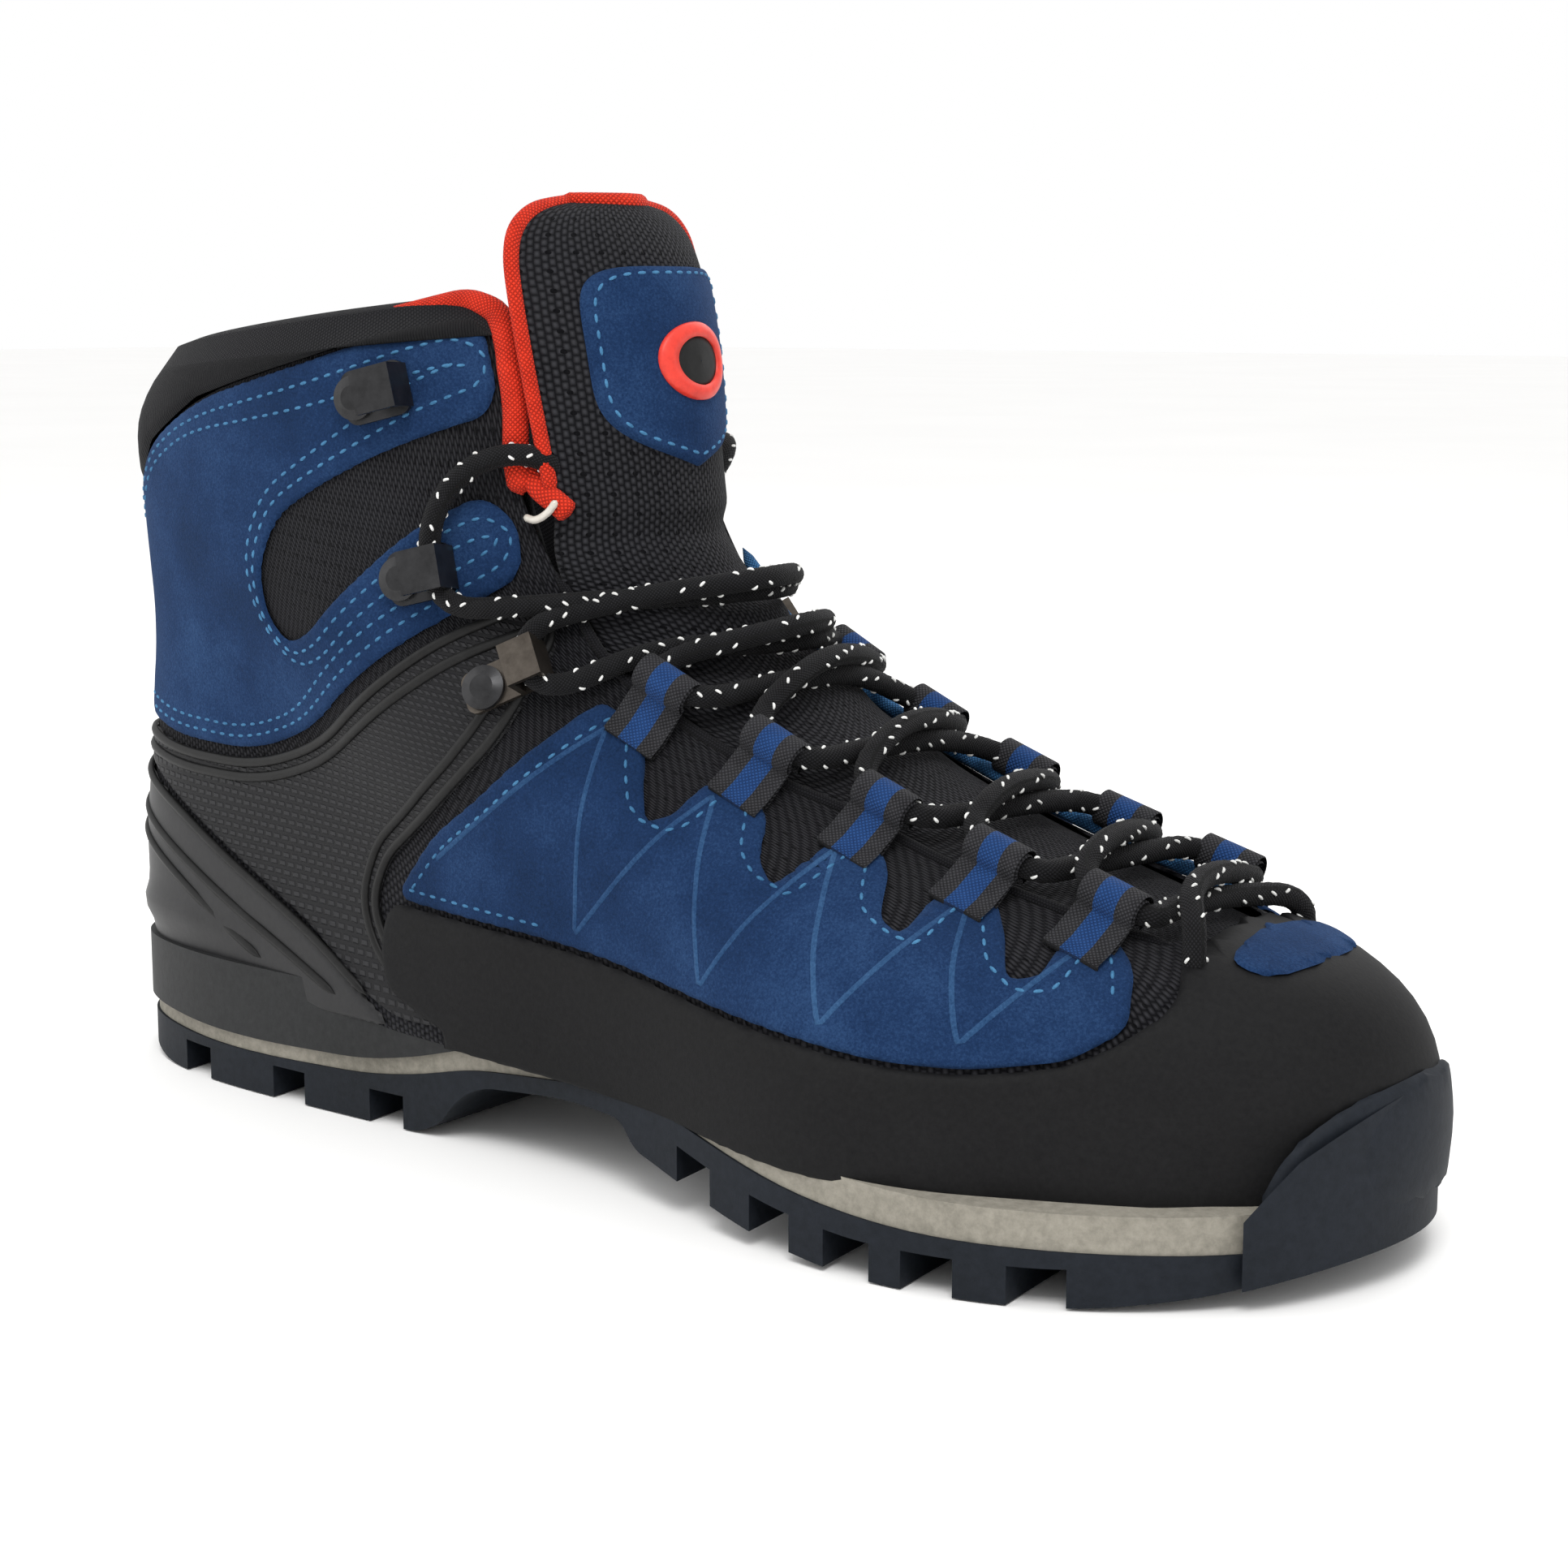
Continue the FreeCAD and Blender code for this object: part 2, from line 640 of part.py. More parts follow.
def tongue_window(half_width, z_low, z_high):
    """A block in front of the tongue's hollow face."""
    low = tongue_height(z_low)
    return Part.makeBox(60, 2 * half_width, tongue_height(z_high) - low,
                        Vector(along(-30), -half_width, low))


tongue_low_zone = side_prism(TONGUE_LOW_ZONE, rounded=False).common(
    side_prism(((-175, 0), (175, 0), (175, HINGE[1]), (-175, HINGE[1])), rounded=False))
add("tongue_lower", between(0.6, LINING, tongue_low_zone))
binding = size("binding_thickness")
tongue = tongue_form()
tongue_top_zone = tongue_window(60, 186, 230)
add("tongue_upper", tongue.cut(tongue_top_zone))
add("tongue_binding", tongue.common(tongue_top_zone))
patch_skin = tongue_form(PANEL).cut(tongue)
add("tongue_patch", patch_skin.common(tongue_window(20, 142, 175)))

BADGE_HEIGHT = 157
badge = Part.makeCylinder(size("badge_diameter") / 2, size("badge_thickness") + 6,
                          Vector(along(3) + PANEL + size("badge_thickness") - 7, 0, above(BADGE_HEIGHT)),
                          Vector(1, 0, 0))
add("tongue_badge", badge.cut(tongue_form(PANEL)).common(tongue_window(20, 142, 175)))

# ---------------------------------------------------------------- lacing hardware

LOOP_PLACES = ((13.5, 92), (36.5, 81.5), (60, 72.8), (84, 65), (107, 59))
TO_THROAT = (0.35, 0.94)
RING_PLACE = (-16, 97)
LOWER_HOOK = (-38, 117)
UPPER_HOOK = (-49, 153)
PLATE_LIFT = PANEL + 0.35
TUNNEL = size("lace_diameter") + 2 * GAP


def local_box(x_from, x_to, half_width, z_from, z_to):
    return Part.makeBox(x_to - x_from, 2 * half_width, z_to - z_from,
                        Vector(x_from, -half_width, z_from))


def webbing_loop(place, side):
    """A stitched-down strap whose free end folds round the lace."""
    wall = size("loop_thickness")
    half = size("loop_width") / 2
    base = PANEL + 0.2
    centre = Vector(size("loop_length") / 2, -half, base + wall + TUNNEL / 2)
    strap = local_box(-size("loop_length") / 2, size("loop_length") / 2, half, base, base + wall)
    fold = Part.makeCylinder(TUNNEL / 2 + wall, 2 * half, centre, Vector(0, 1, 0))
    bore = Part.makeCylinder(TUNNEL / 2, 2 * half + 2, centre - Vector(0, 1, 0), Vector(0, 1, 0))
    shape = strap.fuse(fold).cut(bore).removeSplitter()
    shape.Placement = skin_frame(place[0], place[1], side, TO_THROAT)
    return shape


def plate_tab(x_from, x_to, half_width):
    """A plate lying on the leather, its ends rounded."""
    plate = local_box(x_from, x_to, half_width, PLATE_LIFT, PLATE_LIFT + size("plate_thickness"))
    upright = [edge for edge in plate.Edges
               if abs(edge.tangentAt(edge.FirstParameter).z) > 0.99]
    return plate.makeFillet(half_width * 0.5, upright)


def lace_hook(place, side):
    """A bent plate: flat foot, round bend towards the throat, mouth to the rear."""
    wall = size("plate_thickness")
    half = size("hook_width") / 2
    length = size("hook_length")
    foot = PLATE_LIFT
    top = foot + size("hook_height")
    plate = plate_tab(-length * 0.55, length * 0.45, half)
    bend = local_box(length * 0.45 - wall, length * 0.45, half * 0.8, foot, top)
    cap = local_box(-length * 0.15, length * 0.45, half * 0.8, top - wall, top)
    lip = local_box(-length * 0.15, -length * 0.15 + wall, half * 0.6, top - 2 * wall, top)
    shape = plate.fuse([bend, cap, lip]).removeSplitter()
    shape.Placement = skin_frame(place[0], place[1], side, (1, 0.25))
    return shape


def lace_ring(place, side):
    """A riveted strap plate whose front end is a closed square ring for the lace."""
    wall = size("plate_thickness")
    half = size("hook_width") / 2 * 0.8
    foot = PLATE_LIFT
    plate = plate_tab(-9.5, 6, half)
    outer = local_box(2, 4 + TUNNEL, half, foot, foot + TUNNEL + 2 * wall)
    inner = local_box(2 + wall, 4 + TUNNEL - wall, half + 1, foot + wall, foot + wall + TUNNEL)
    shape = plate.fuse(outer).cut(inner).removeSplitter()
    shape.Placement = skin_frame(place[0], place[1], side, (1, 0.5))
    return shape


def rivet(place, side, offset, toward):
    """A domed head over the plate and a shank through leather and shell."""
    head = size("rivet_head_diameter") / 2
    rise = PLATE_LIFT + size("plate_thickness")
    shank = Part.makeCylinder(size("rivet_shank_diameter") / 2, rise + SHELL, Vector(offset, 0, -SHELL))
    cap = Part.makeCylinder(head, 0.9, Vector(offset, 0, rise)).fuse(
        Part.makeCone(head, head * 0.55, 0.7, Vector(offset, 0, rise + 0.9)))
    shape = shank.fuse(cap).removeSplitter()
    shape.Placement = skin_frame(place[0], place[1], side, toward)
    return shape


for side, name in SIDES:
    loops = [webbing_loop(place, side) for place in LOOP_PLACES]
    add("webbing_loops_" + name, joined(loops))
    ring_rivet = rivet(RING_PLACE, side, -5, (1, 0.5))
    low_rivet = rivet(LOWER_HOOK, side, -size("hook_length") * 0.36, (1, 0.25))
    top_rivet = rivet(UPPER_HOOK, side, -size("hook_length") * 0.36, (1, 0.25))
    add("lace_ring_" + name, lace_ring(RING_PLACE, side).cut(ring_rivet))
    add("lower_hook_" + name, lace_hook(LOWER_HOOK, side).cut(low_rivet))
    add("upper_hook_" + name, lace_hook(UPPER_HOOK, side).cut(top_rivet))
    add("rivets_" + name, joined([ring_rivet, low_rivet, top_rivet]))
    drilled("ankle_panel_" + name, [ring_rivet])
    drilled("ankle_suede_" + name, [low_rivet, top_rivet])
    drilled("upper_shell", [ring_rivet, low_rivet, top_rivet])

# ---------------------------------------------------------------- bindings

for side, name in SIDES:
    corner = Vector(-2 * REACH, 0 if side > 0 else -REACH, -REACH)
    half_space = Part.makeBox(4 * REACH, REACH, 4 * REACH, corner)
    strip = between(-binding, -0.05, front_strip).common(half_space).cut(throat)
    add("collar_binding_" + name, strip)

# ---------------------------------------------------------------- facings, toe patch

FACING_BAND = 4.6
for side, name in SIDES:
    band = tuple((x - 0.4, z - 0.6) for x, z in FACING[1:11])
    inner = tuple((x - 0.36 * FACING_BAND, z - FACING_BAND) for x, z in band[::-1])
    facing = between(-0.5, -0.05, side_prism(band + inner, side, rounded=False))
    add("facing_" + name, facing.cut(side_prism(VAMP, side)))

toe_patch_zone = side_prism(TOE_PATCH, rounded=False)
add("toe_patch", between(RAND_OUT - 0.7, RAND_OUT - 0.05, toe_patch_zone).cut(holes))

# ---------------------------------------------------------------- lace

# One lace: its middle bar lies inside the toe, its halves cross up the throat
# and its ends are tucked in between the tongue and the collar. A guide is the
# middle of a loop, ring or hook: nominal x, lateral y, medial y, z, and the
# heading of its passage in x, inwards and up.
GUIDES = (
    (109, -17.5, 25.5, 65.5, (-0.93, 0, 0.36)),
    (86, -20, 26, 71.5, (-0.93, 0, 0.36)),
    (62.5, -22.5, 26.5, 79.3, (-0.93, 0, 0.36)),
    (39.5, -26, 28.5, 88, (-0.93, 0, 0.36)),
    (16.8, -30.5, 31.5, 98.3, (-0.9, 0.1, 0.4)),
    (-10, -41, 40.5, 101.3, (-0.5, 0.2, 0.83)),
    (-33.7, -42.3, 41.5, 118.4, (-0.26, 0.05, 0.96)),
)
# Where the halves cross in front of the tongue: x and z of the lower one, and
# the way out, in x and z, by which the upper one stands off.
CROSSINGS = (
    (116.5, 63.2, 0.25, 0.97),
    (97.5, 68.8, 0.28, 0.96),
    (74.5, 76.2, 0.38, 0.93),
    (51, 86.5, 0.48, 0.88),
    (31.5, 98.2, 0.6, 0.8),
    (25, 104.6, 0.66, 0.75),
    (16.5, 114.2, 0.8, 0.6),
)
HALF_PASSAGE = 8
CROSSING_HALF = 9
CROSSING_TILT = 1.2
STAND_OFF = size("lace_diameter") + 0.5
# The rand's hole from the outside inwards, then points on the ankle between the
# crossings and the ring or hook, and the tucked end: x, lateral y, medial y, z.
HOLE_WAY = ((125.5, -17.5, 26.5, 61.5), (124, -16.2, 24.6, 46.8))
BAR_MIDDLE = (122.5, 4, 45.6)
TO_RING = ((9.5, -26, 26.8, 104.6),)
FROM_RING = ((0.7, -25.8, 26.4, 113.2),)
TO_HOOK = ((0.7, -25.8, 26.4, 113.2), (-14.8, -38, 37.4, 111.8))
TUCKED = ((-30, -38.6, 38.6, 137.5), (-20, -34.2, 34.2, 142), (-13.5, -27, 27, 139.5),
          (-15, -19.5, 19.5, 131), (-18, -17, 17, 120), (-19.5, -18, 18, 109.5))


def sided(place, side):
    """A point given for both sides: nominal x, lateral y, medial y, z."""
    x, lateral_y, medial_y, z = place
    return Vector(along(x), across(lateral_y if side < 0 else medial_y), above(z))


def passage_end(guide, side, way):
    """One end of a guide's passage: way -1 where the lace comes in, 1 where it leaves."""
    heading = guide[4]
    inwards = -heading[1] * side
    reach = Vector(heading[0], inwards, heading[2]) * (way * HALF_PASSAGE)
    return sided(guide[:4], side) + reach


def crossing_pair(row, side, over):
    """Two points at the top of a crossing, from one side to the other."""
    x, z, out_x, out_z = CROSSINGS[row]
    lift = STAND_OFF if over else 0
    middle = Vector(along(x) + out_x * lift, 0, above(z) + out_z * lift)
    lean = Vector(CROSSING_TILT, CROSSING_HALF * side, 0)
    return [middle + lean, middle - lean]


def lace_half(side, first_over):
    """From the rand's hole on one side up to the tucked end."""
    points = [sided(HOLE_WAY[1], side), sided(HOLE_WAY[0], side)]
    for row, guide in enumerate(GUIDES):
        before = FROM_RING if row == 6 else ()
        after = {5: TO_RING, 6: TO_HOOK}.get(row, ())
        points += [sided(place, side) for place in before]
        points += crossing_pair(row, side, first_over == (row % 2 == 0))
        side = -side
        points += [sided(place, side) for place in after]
        points += [passage_end(guide, side, -1), passage_end(guide, side, 1)]
    return points + [sided(place, side) for place in TUCKED]


def tube_along(points, diameter):
    """A round tube along straight runs and tangent arcs, its radii printed."""
    route = rounded_wire(points, closed=False)
    radii = [edge.Curve.Radius for edge in route.Edges if hasattr(edge.Curve, "Radius")]
    print("lace radii", " ".join("%.1f" % radius for radius in radii))
    heading = route.Edges[0].tangentAt(route.Edges[0].FirstParameter)
    section = Part.Wire([Part.Circle(points[0], heading, diameter / 2).toShape()])
    tube = route.makePipeShell([section], True, True)
    expected = math.pi * diameter ** 2 / 4 * route.Length
    print("lace length %.0f mm, volume %.3f of section by length"
          % (route.Length, tube.Volume / expected))
    if abs(tube.Volume / expected - 1) > 0.02:
        raise RuntimeError("the lace tube is not a plain sweep of its section")
    return tube


lace_points = lace_half(LATERAL, True)[::-1]
lace_points.append(Vector(along(BAR_MIDDLE[0]), across(BAR_MIDDLE[1]), above(BAR_MIDDLE[2])))
lace_points += lace_half(MEDIAL, False)
add("lace", tube_along(lace_points, size("lace_diameter")))

# ---------------------------------------------------------------- checks and export

doc.recompute()


def write_parts():
    for item in doc.Objects:
        for bad in ("Invalid", "Error"):
            if bad in item.State:
                raise RuntimeError("%s is %s" % (item.Label, bad))
    os.makedirs("parts", exist_ok=True)
    for node in NODES:
        shape = node.Shape
        if shape.isNull() or not shape.isValid() or not shape.Solids:
            raise RuntimeError("%s has no valid solid" % node.Label)
        shape.exportStep("parts/%s.step" % node.Label)
        print("%-22s %2d solids %9.0f mm3" % (node.Label, len(shape.Solids), shape.Volume))


write_parts()
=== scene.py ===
import math
import bpy
import numpy as np
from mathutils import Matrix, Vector, geometry, kdtree


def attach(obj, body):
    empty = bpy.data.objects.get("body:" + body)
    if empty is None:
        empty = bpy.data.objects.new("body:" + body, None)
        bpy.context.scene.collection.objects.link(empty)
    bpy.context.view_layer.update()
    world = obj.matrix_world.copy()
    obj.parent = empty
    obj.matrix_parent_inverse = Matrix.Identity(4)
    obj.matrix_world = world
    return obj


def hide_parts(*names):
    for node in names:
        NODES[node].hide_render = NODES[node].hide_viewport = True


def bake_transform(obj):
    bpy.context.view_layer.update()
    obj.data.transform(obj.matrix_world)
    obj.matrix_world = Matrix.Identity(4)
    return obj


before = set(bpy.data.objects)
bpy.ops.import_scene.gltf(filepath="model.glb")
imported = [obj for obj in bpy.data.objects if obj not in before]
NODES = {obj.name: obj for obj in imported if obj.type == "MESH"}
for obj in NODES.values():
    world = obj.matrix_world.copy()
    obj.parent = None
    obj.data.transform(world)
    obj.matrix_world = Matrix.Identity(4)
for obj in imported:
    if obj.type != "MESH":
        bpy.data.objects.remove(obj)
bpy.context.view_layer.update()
MM = 0.001
UV_MM = 100.0
HALF_STRIPE = 2.3
MID_X = 3.0
LACE = 4.5

# ---------------------------------------------------------------- the upper's form

STATIONS = (0.0, 0.25, 0.5, 0.72, 1.0)
RINGS = (
    (-148, 25, 155, 13, (50, 41, 40, 61, 60), 8),
    (-150, 37, 156, 27, (50, 41, 41, 60, 57), 8),
    (-151, 50, 153, 41, (49, 40, 42, 57, 53), 7),
    (-150, 62, 143, 51, (48, 39, 42, 52, 46), 6),
    (-148, 74, 124, 58, (47, 38, 42, 47, 41), 5),
    (-146, 86, 102, 64, (47, 38, 42, 44, 39), 4),
    (-144, 96, 80, 71, (47, 39, 42, 42, 38), 3),
    (-143, 106, 58, 80, (47, 40, 42, 41, 37), 2),
    (-143, 116, 38, 91, (47, 41, 42, 40, 36), 1),
    (-143, 126, 20, 104, (47, 42, 41, 39, 36), 1),
    (-143, 137, 8, 120, (47, 42, 41, 39, 36), 1),
    (-141, 147, 1, 140, (46, 42, 41, 39, 36), 1),
    (-134, 156, -8, 168, (43, 41, 40, 38, 34), 1),
    (-127, 161, -15, 175, (36, 36, 35, 32, 27), 1),
)
COUNT = 22
TOE = COUNT / 2
LEVELS = len(RINGS)
LEVEL_MM = 10.5


def eased(values, at):
    for i in range(4):
        if at <= STATIONS[i + 1] or i == 3:
            part = (at - STATIONS[i]) / (STATIONS[i + 1] - STATIONS[i])
            part = part * part * (3 - 2 * part)
            return values[i] + (values[i + 1] - values[i]) * part


def ring_points(ring):
    back_x, back_z, front_x, front_z, widths, swing = ring
    points = []
    for j in range(COUNT):
        angle = 2 * math.pi * j / COUNT
        share = 0.5 - 0.5 * math.cos(angle)
        power = 0.68 + 0.12 * share
        bulge = math.copysign(abs(math.sin(angle)) ** power, math.sin(angle))
        y = eased(widths, share) * bulge + swing * share ** 4 - math.sin(math.pi * share) ** 2
        points.append((back_x + (front_x - back_x) * share - MID_X, y,
                       back_z + (front_z - back_z) * share))
    return points


def spline_controls(points):
    """Control points of the closed cubic spline through evenly numbered points."""
    k = np.arange(COUNT)
    weights = (4 + 2 * np.cos(2 * np.pi * k / COUNT)) / 6
    return np.real(np.fft.ifft(np.fft.fft(points, axis=0) / weights[:, None], axis=0))


CONTROLS = np.array([spline_controls(np.array(ring_points(ring))) for ring in RINGS])


def form(t, level):
    """Points of the form, in mm: t runs 0 heel, 11 toe (medial first), level 0 to 13."""
    t = np.asarray(t, float)
    level = np.clip(np.asarray(level, float), 0, LEVELS - 1)
    row = np.minimum(level.astype(int), LEVELS - 2)
    part = level - row
    rows = [np.clip(row + k, 0, LEVELS - 1) for k in (-1, 0, 1, 2)]
    mix = [(-part + 2 * part ** 2 - part ** 3) / 2, (2 - 5 * part ** 2 + 3 * part ** 3) / 2,
           (part + 4 * part ** 2 - 3 * part ** 3) / 2, (-part ** 2 + part ** 3) / 2]
    cell = np.floor(t).astype(int)
    q = t - cell
    basis = [(1 - q) ** 3 / 6, (3 * q ** 3 - 6 * q ** 2 + 4) / 6,
             (-3 * q ** 3 + 3 * q ** 2 + 3 * q + 1) / 6, q ** 3 / 6]
    out = np.zeros(t.shape + (3,))
    for r, m in zip(rows, mix):
        for k, b in zip((-1, 0, 1, 2), basis):
            out += (m * b)[..., None] * CONTROLS[r, (cell + k) % COUNT]
    return out


def unit(v):
    return v / np.maximum(np.linalg.norm(v, axis=-1, keepdims=True), 1e-9)


def run_along(points):
    """The length run from the first point to each point."""
    return np.concatenate([[0], np.cumsum(np.linalg.norm(np.diff(points, axis=0), axis=1))])


def read_at(at, run, points):
    """Points read at given lengths along a line."""
    return np.stack([np.interp(at, run, points[:, k]) for k in range(points.shape[1])], -1)


def form_normal(t, level):
    low = np.clip(np.asarray(level, float) - 0.15, 0, LEVELS - 1.3)
    up = form(t, low + 0.3) - form(t, low)
    along = form(np.asarray(t) + 0.08, level) - form(np.asarray(t) - 0.08, level)
    return unit(np.cross(up, along))


ARC_T = np.linspace(-TOE, 2 * COUNT, 1500)
ARC_LEVEL = 4.0
ARC_X = run_along(form(ARC_T, ARC_LEVEL))


def plane_to_form(plane):
    return np.interp(plane[..., 0], ARC_X, ARC_T), plane[..., 1] / LEVEL_MM


def normal_at(plane):
    return form_normal(*plane_to_form(plane))


def side_to_plane(points, side, over_toe=False):
    """Side-view points (nominal x, z) on one side of the form, in its flat plane."""
    points = np.asarray(points, float)
    x = points[:, 0] - MID_X
    z = points[:, 1]
    levels = np.arange(LEVELS)
    back_z = np.array([ring[1] for ring in RINGS], float)
    front_z = np.array([ring[3] for ring in RINGS], float)
    back_x = np.array([ring[0] for ring in RINGS], float) - MID_X
    front_x = np.array([ring[2] for ring in RINGS], float) - MID_X
    low = np.zeros(len(x))
    high = np.full(len(x), LEVELS - 1.0)
    for _ in range(40):
        middle = (low + high) / 2
        bx, fx = np.interp(middle, levels, back_x), np.interp(middle, levels, front_x)
        bz, fz = np.interp(middle, levels, back_z), np.interp(middle, levels, front_z)
        share = np.clip((x - bx) / (fx - bx), 0, 1)
        under = bz + (fz - bz) * share < z
        low = np.where(under, middle, low)
        high = np.where(under, high, middle)
    level = (low + high) / 2
    inside = (share > 0.003) & (share < 0.997)
    angle = np.arccos(1 - 2 * share)
    t = angle / (2 * math.pi) * COUNT
    for _ in range(8):
        here = form(t, level)
        e = 0.02
        dt = (form(t + e, level) - here) / e
        dl = (form(t, level + e) - form(t, level - e)) / (2 * e)
        rx, rz = x - here[:, 0], z - here[:, 2]
        det = dt[:, 0] * dl[:, 2] - dt[:, 2] * dl[:, 0]
        det = np.where(np.abs(det) < 1e-3, 1e9, det)
        step_t = np.clip((rx * dl[:, 2] - rz * dl[:, 0]) / det, -0.5, 0.5)
        step_l = np.clip((dt[:, 0] * rz - dt[:, 2] * rx) / det, -0.5, 0.5)
        t = np.where(inside, np.clip(t + step_t, 0.0, TOE), t)
        level = np.where(inside, np.clip(level + step_l, 0, LEVELS - 1), level)
    if side < 0:
        t = COUNT - t if over_toe else -t
    return np.stack([np.interp(t, ARC_T, ARC_X), level * LEVEL_MM], -1)


def lifted(plane, lift):
    t, level = plane_to_form(np.asarray(plane, float))
    return form(t, level) + form_normal(t, level) * np.asarray(lift)[..., None]


# ---------------------------------------------------------------- outlines

def rounded(points, closed=True, share=0.45, steps=6):
    """Corners cut by smooth curves, as the CAD outlines have."""
    points = [np.array(p, float) for p in points]
    n = len(points)
    out = [] if closed else [points[0]]
    for i in range(n) if closed else range(1, n - 1):
        a, b, c = points[i - 1], points[i], points[(i + 1) % n]
        trim = share * min(np.linalg.norm(b - a), np.linalg.norm(c - b))
        p = b + unit(a - b) * trim
        q = b + unit(c - b) * trim
        for k in range(steps + 1):
            s = k / steps
            out.append(p * (1 - s) ** 2 + b * 2 * s * (1 - s) + q * s * s)
    if not closed:
        out.append(points[-1])
    return np.array(out)


def resampled(points, step, closed=True):
    points = np.vstack([points, points[:1]]) if closed else np.asarray(points)
    run = run_along(points)
    count = max(int(run[-1] / step), 3)
    at = np.linspace(0, run[-1], count + 1)
    return read_at(at[:-1] if closed else at, run, points)


def smooth_line(points, step):
    return resampled(rounded(points, closed=False), step, closed=False)


def one_side(outline, side, step=1.4, share=0.45):
    return side_to_plane(resampled(rounded(outline, share=share), step), side)


def both_sides(outline, over_toe=False, step=1.4):
    """A zone open towards the heel or toe, joined with its mirror image."""
    line = smooth_line(outline, step)
    medial = side_to_plane(line, 1, over_toe)
    lateral = side_to_plane(line, -1, over_toe)
    return np.vstack([medial, lateral[::-1]])


def inset(outline, distance):
    """A closed plane outline moved inwards, dropping points that come too near its edge."""
    ahead = np.roll(outline, -1, 0) - np.roll(outline, 1, 0)
    area = np.sum(outline[:, 0] * np.roll(outline[:, 1], -1) - np.roll(outline[:, 0], -1) * outline[:, 1])
    inward = unit(np.stack([-ahead[:, 1], ahead[:, 0]], -1)) * (1 if area > 0 else -1)
    moved = outline + inward * distance
    gap = np.min(np.linalg.norm(moved[:, None] - outline[None], axis=2), axis=1)
    return moved, gap > distance * 0.85


# ---------------------------------------------------------------- mesh helpers

def keep(obj, body, replaces=()):
    if body:
        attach(obj, body)
    if replaces:
        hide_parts(*replaces)
    return obj


def mesh_object(name, verts, faces, mat, uvs=None, smooth=True):
    mesh = bpy.data.meshes.new(name)
    mesh.from_pydata([tuple(v) for v in np.asarray(verts) * MM], [], [tuple(map(int, f)) for f in faces])
    mesh.update()
    if uvs is not None:
        layer = mesh.uv_layers.new(name="UVMap")
        index = np.empty(len(mesh.loops), dtype=np.int32)
        mesh.loops.foreach_get("vertex_index", index)
        layer.data.foreach_set("uv", (np.asarray(uvs)[index] / UV_MM).astype(np.float32).ravel())
    if smooth:
        mesh.polygons.foreach_set("use_smooth", [True] * len(mesh.polygons))
    obj = bpy.data.objects.new(name, mesh)
    bpy.context.scene.collection.objects.link(obj)
    mesh.materials.append(mat)
    return obj


def in_polygon(points, polygon):
    x, y = points[:, 0], points[:, 1]
    inside = np.zeros(len(points), bool)
    x1, y1 = polygon[:, 0], polygon[:, 1]
    x2, y2 = np.roll(x1, -1), np.roll(y1, -1)
    for a, b, c, d in zip(x1, y1, x2, y2):
        if b != d:
            cross = ((b > y) != (d > y)) & (x < (c - a) * (y - b) / (d - b) + a)
            inside ^= cross
    return inside


def tree_of(points):
    tree = kdtree.KDTree(len(points))
    for i, p in enumerate(points):
        tree.insert(p, i)
    tree.balance()
    return tree


def edge_distance(points, edge):
    tree = tree_of(edge)
    return np.array([tree.find(p)[2] for p in points])


def patch(name, outline, thick, base, mat, grid=2.2, roll=None, relief=None):
    """A panel lying on the form: rounded edges, its rim sunk into what lies under it."""
    roll = roll or max(thick, 0.6)
    keep_rows = [outline]
    for d in (roll * 0.15, roll * 0.5, roll * 1.1):
        moved, good = inset(outline, d)
        keep_rows.append(moved[good])
    low, high = outline.min(0), outline.max(0)
    gx, gy = np.meshgrid(np.arange(low[0], high[0], grid), np.arange(low[1], high[1], grid))
    inner = np.stack([gx.ravel() + 0.31 * grid * (np.arange(gx.size) // gx.shape[1] % 2), gy.ravel()], -1)
    inner = inner[in_polygon(inner, outline)]
    flat_edge = np.c_[outline, np.zeros(len(outline))]
    far = edge_distance(np.c_[inner, np.zeros(len(inner))], flat_edge) > roll * 1.1 + grid * 0.45
    keep_rows.append(inner[far])
    points = np.vstack(keep_rows)
    verts2, _, faces, _, _, _ = geometry.delaunay_2d_cdt(
        [Vector(p) for p in points], [], [list(range(len(outline)))], 1, 1e-4)
    plane = np.array([tuple(v) for v in verts2])
    surface = lifted(plane, 0)
    d = edge_distance(surface, resampled(lifted(outline, 0), 0.4))
    bend = np.sqrt(np.clip(1 - (1 - np.clip(d / roll, 0, 1)) ** 2, 0, 1))
    height = base + thick * bend - 0.35 * (d < 0.05)
    if relief is not None:
        height = height + relief(surface, plane, d)
    verts = lifted(plane, height)
    return panel_mesh(name, verts, faces, plane, mat)


def panel_mesh(name, verts, faces, plane, mat):
    faces = [f for f in faces if len(f) == 3]
    a, b, c = (verts[[f[k] for f in faces]] for k in range(3))
    facing = np.cross(b - a, c - a)
    wrong = np.sum(facing * normal_at(plane[[f[0] for f in faces]]), axis=1) < 0
    faces = [tuple(reversed(f)) if w else tuple(f) for f, w in zip(faces, wrong)]
    return mesh_object(name, verts, faces, mat, plane)


def grid_mesh(name, rows, mat, closed=False, uv=None):
    """Rows of equal length joined into a skin; closed joins each row's ends."""
    rows = np.asarray(rows)
    r, c = rows.shape[:2]
    faces = []
    for i in range(r - 1):
        for j in range(c if closed else c - 1):
            k = (j + 1) % c
            faces.append((i * c + j, i * c + k, (i + 1) * c + k, (i + 1) * c + j))
    if uv is None:
        uv = np.stack(np.meshgrid(run_along(rows[r // 2]), run_along(rows[:, c // 2])), -1).reshape(-1, 2)
    return mesh_object(name, rows.reshape(-1, 3), faces, mat, uv)


def rings(centres, across, out, angle, radius, flat=1.0):
    """A ring of points round each centre, at the given angles."""
    return (centres[:, None] + across[:, None] * (np.cos(angle) * radius)[..., None]
            + out[:, None] * (np.sin(angle) * radius * flat)[..., None])


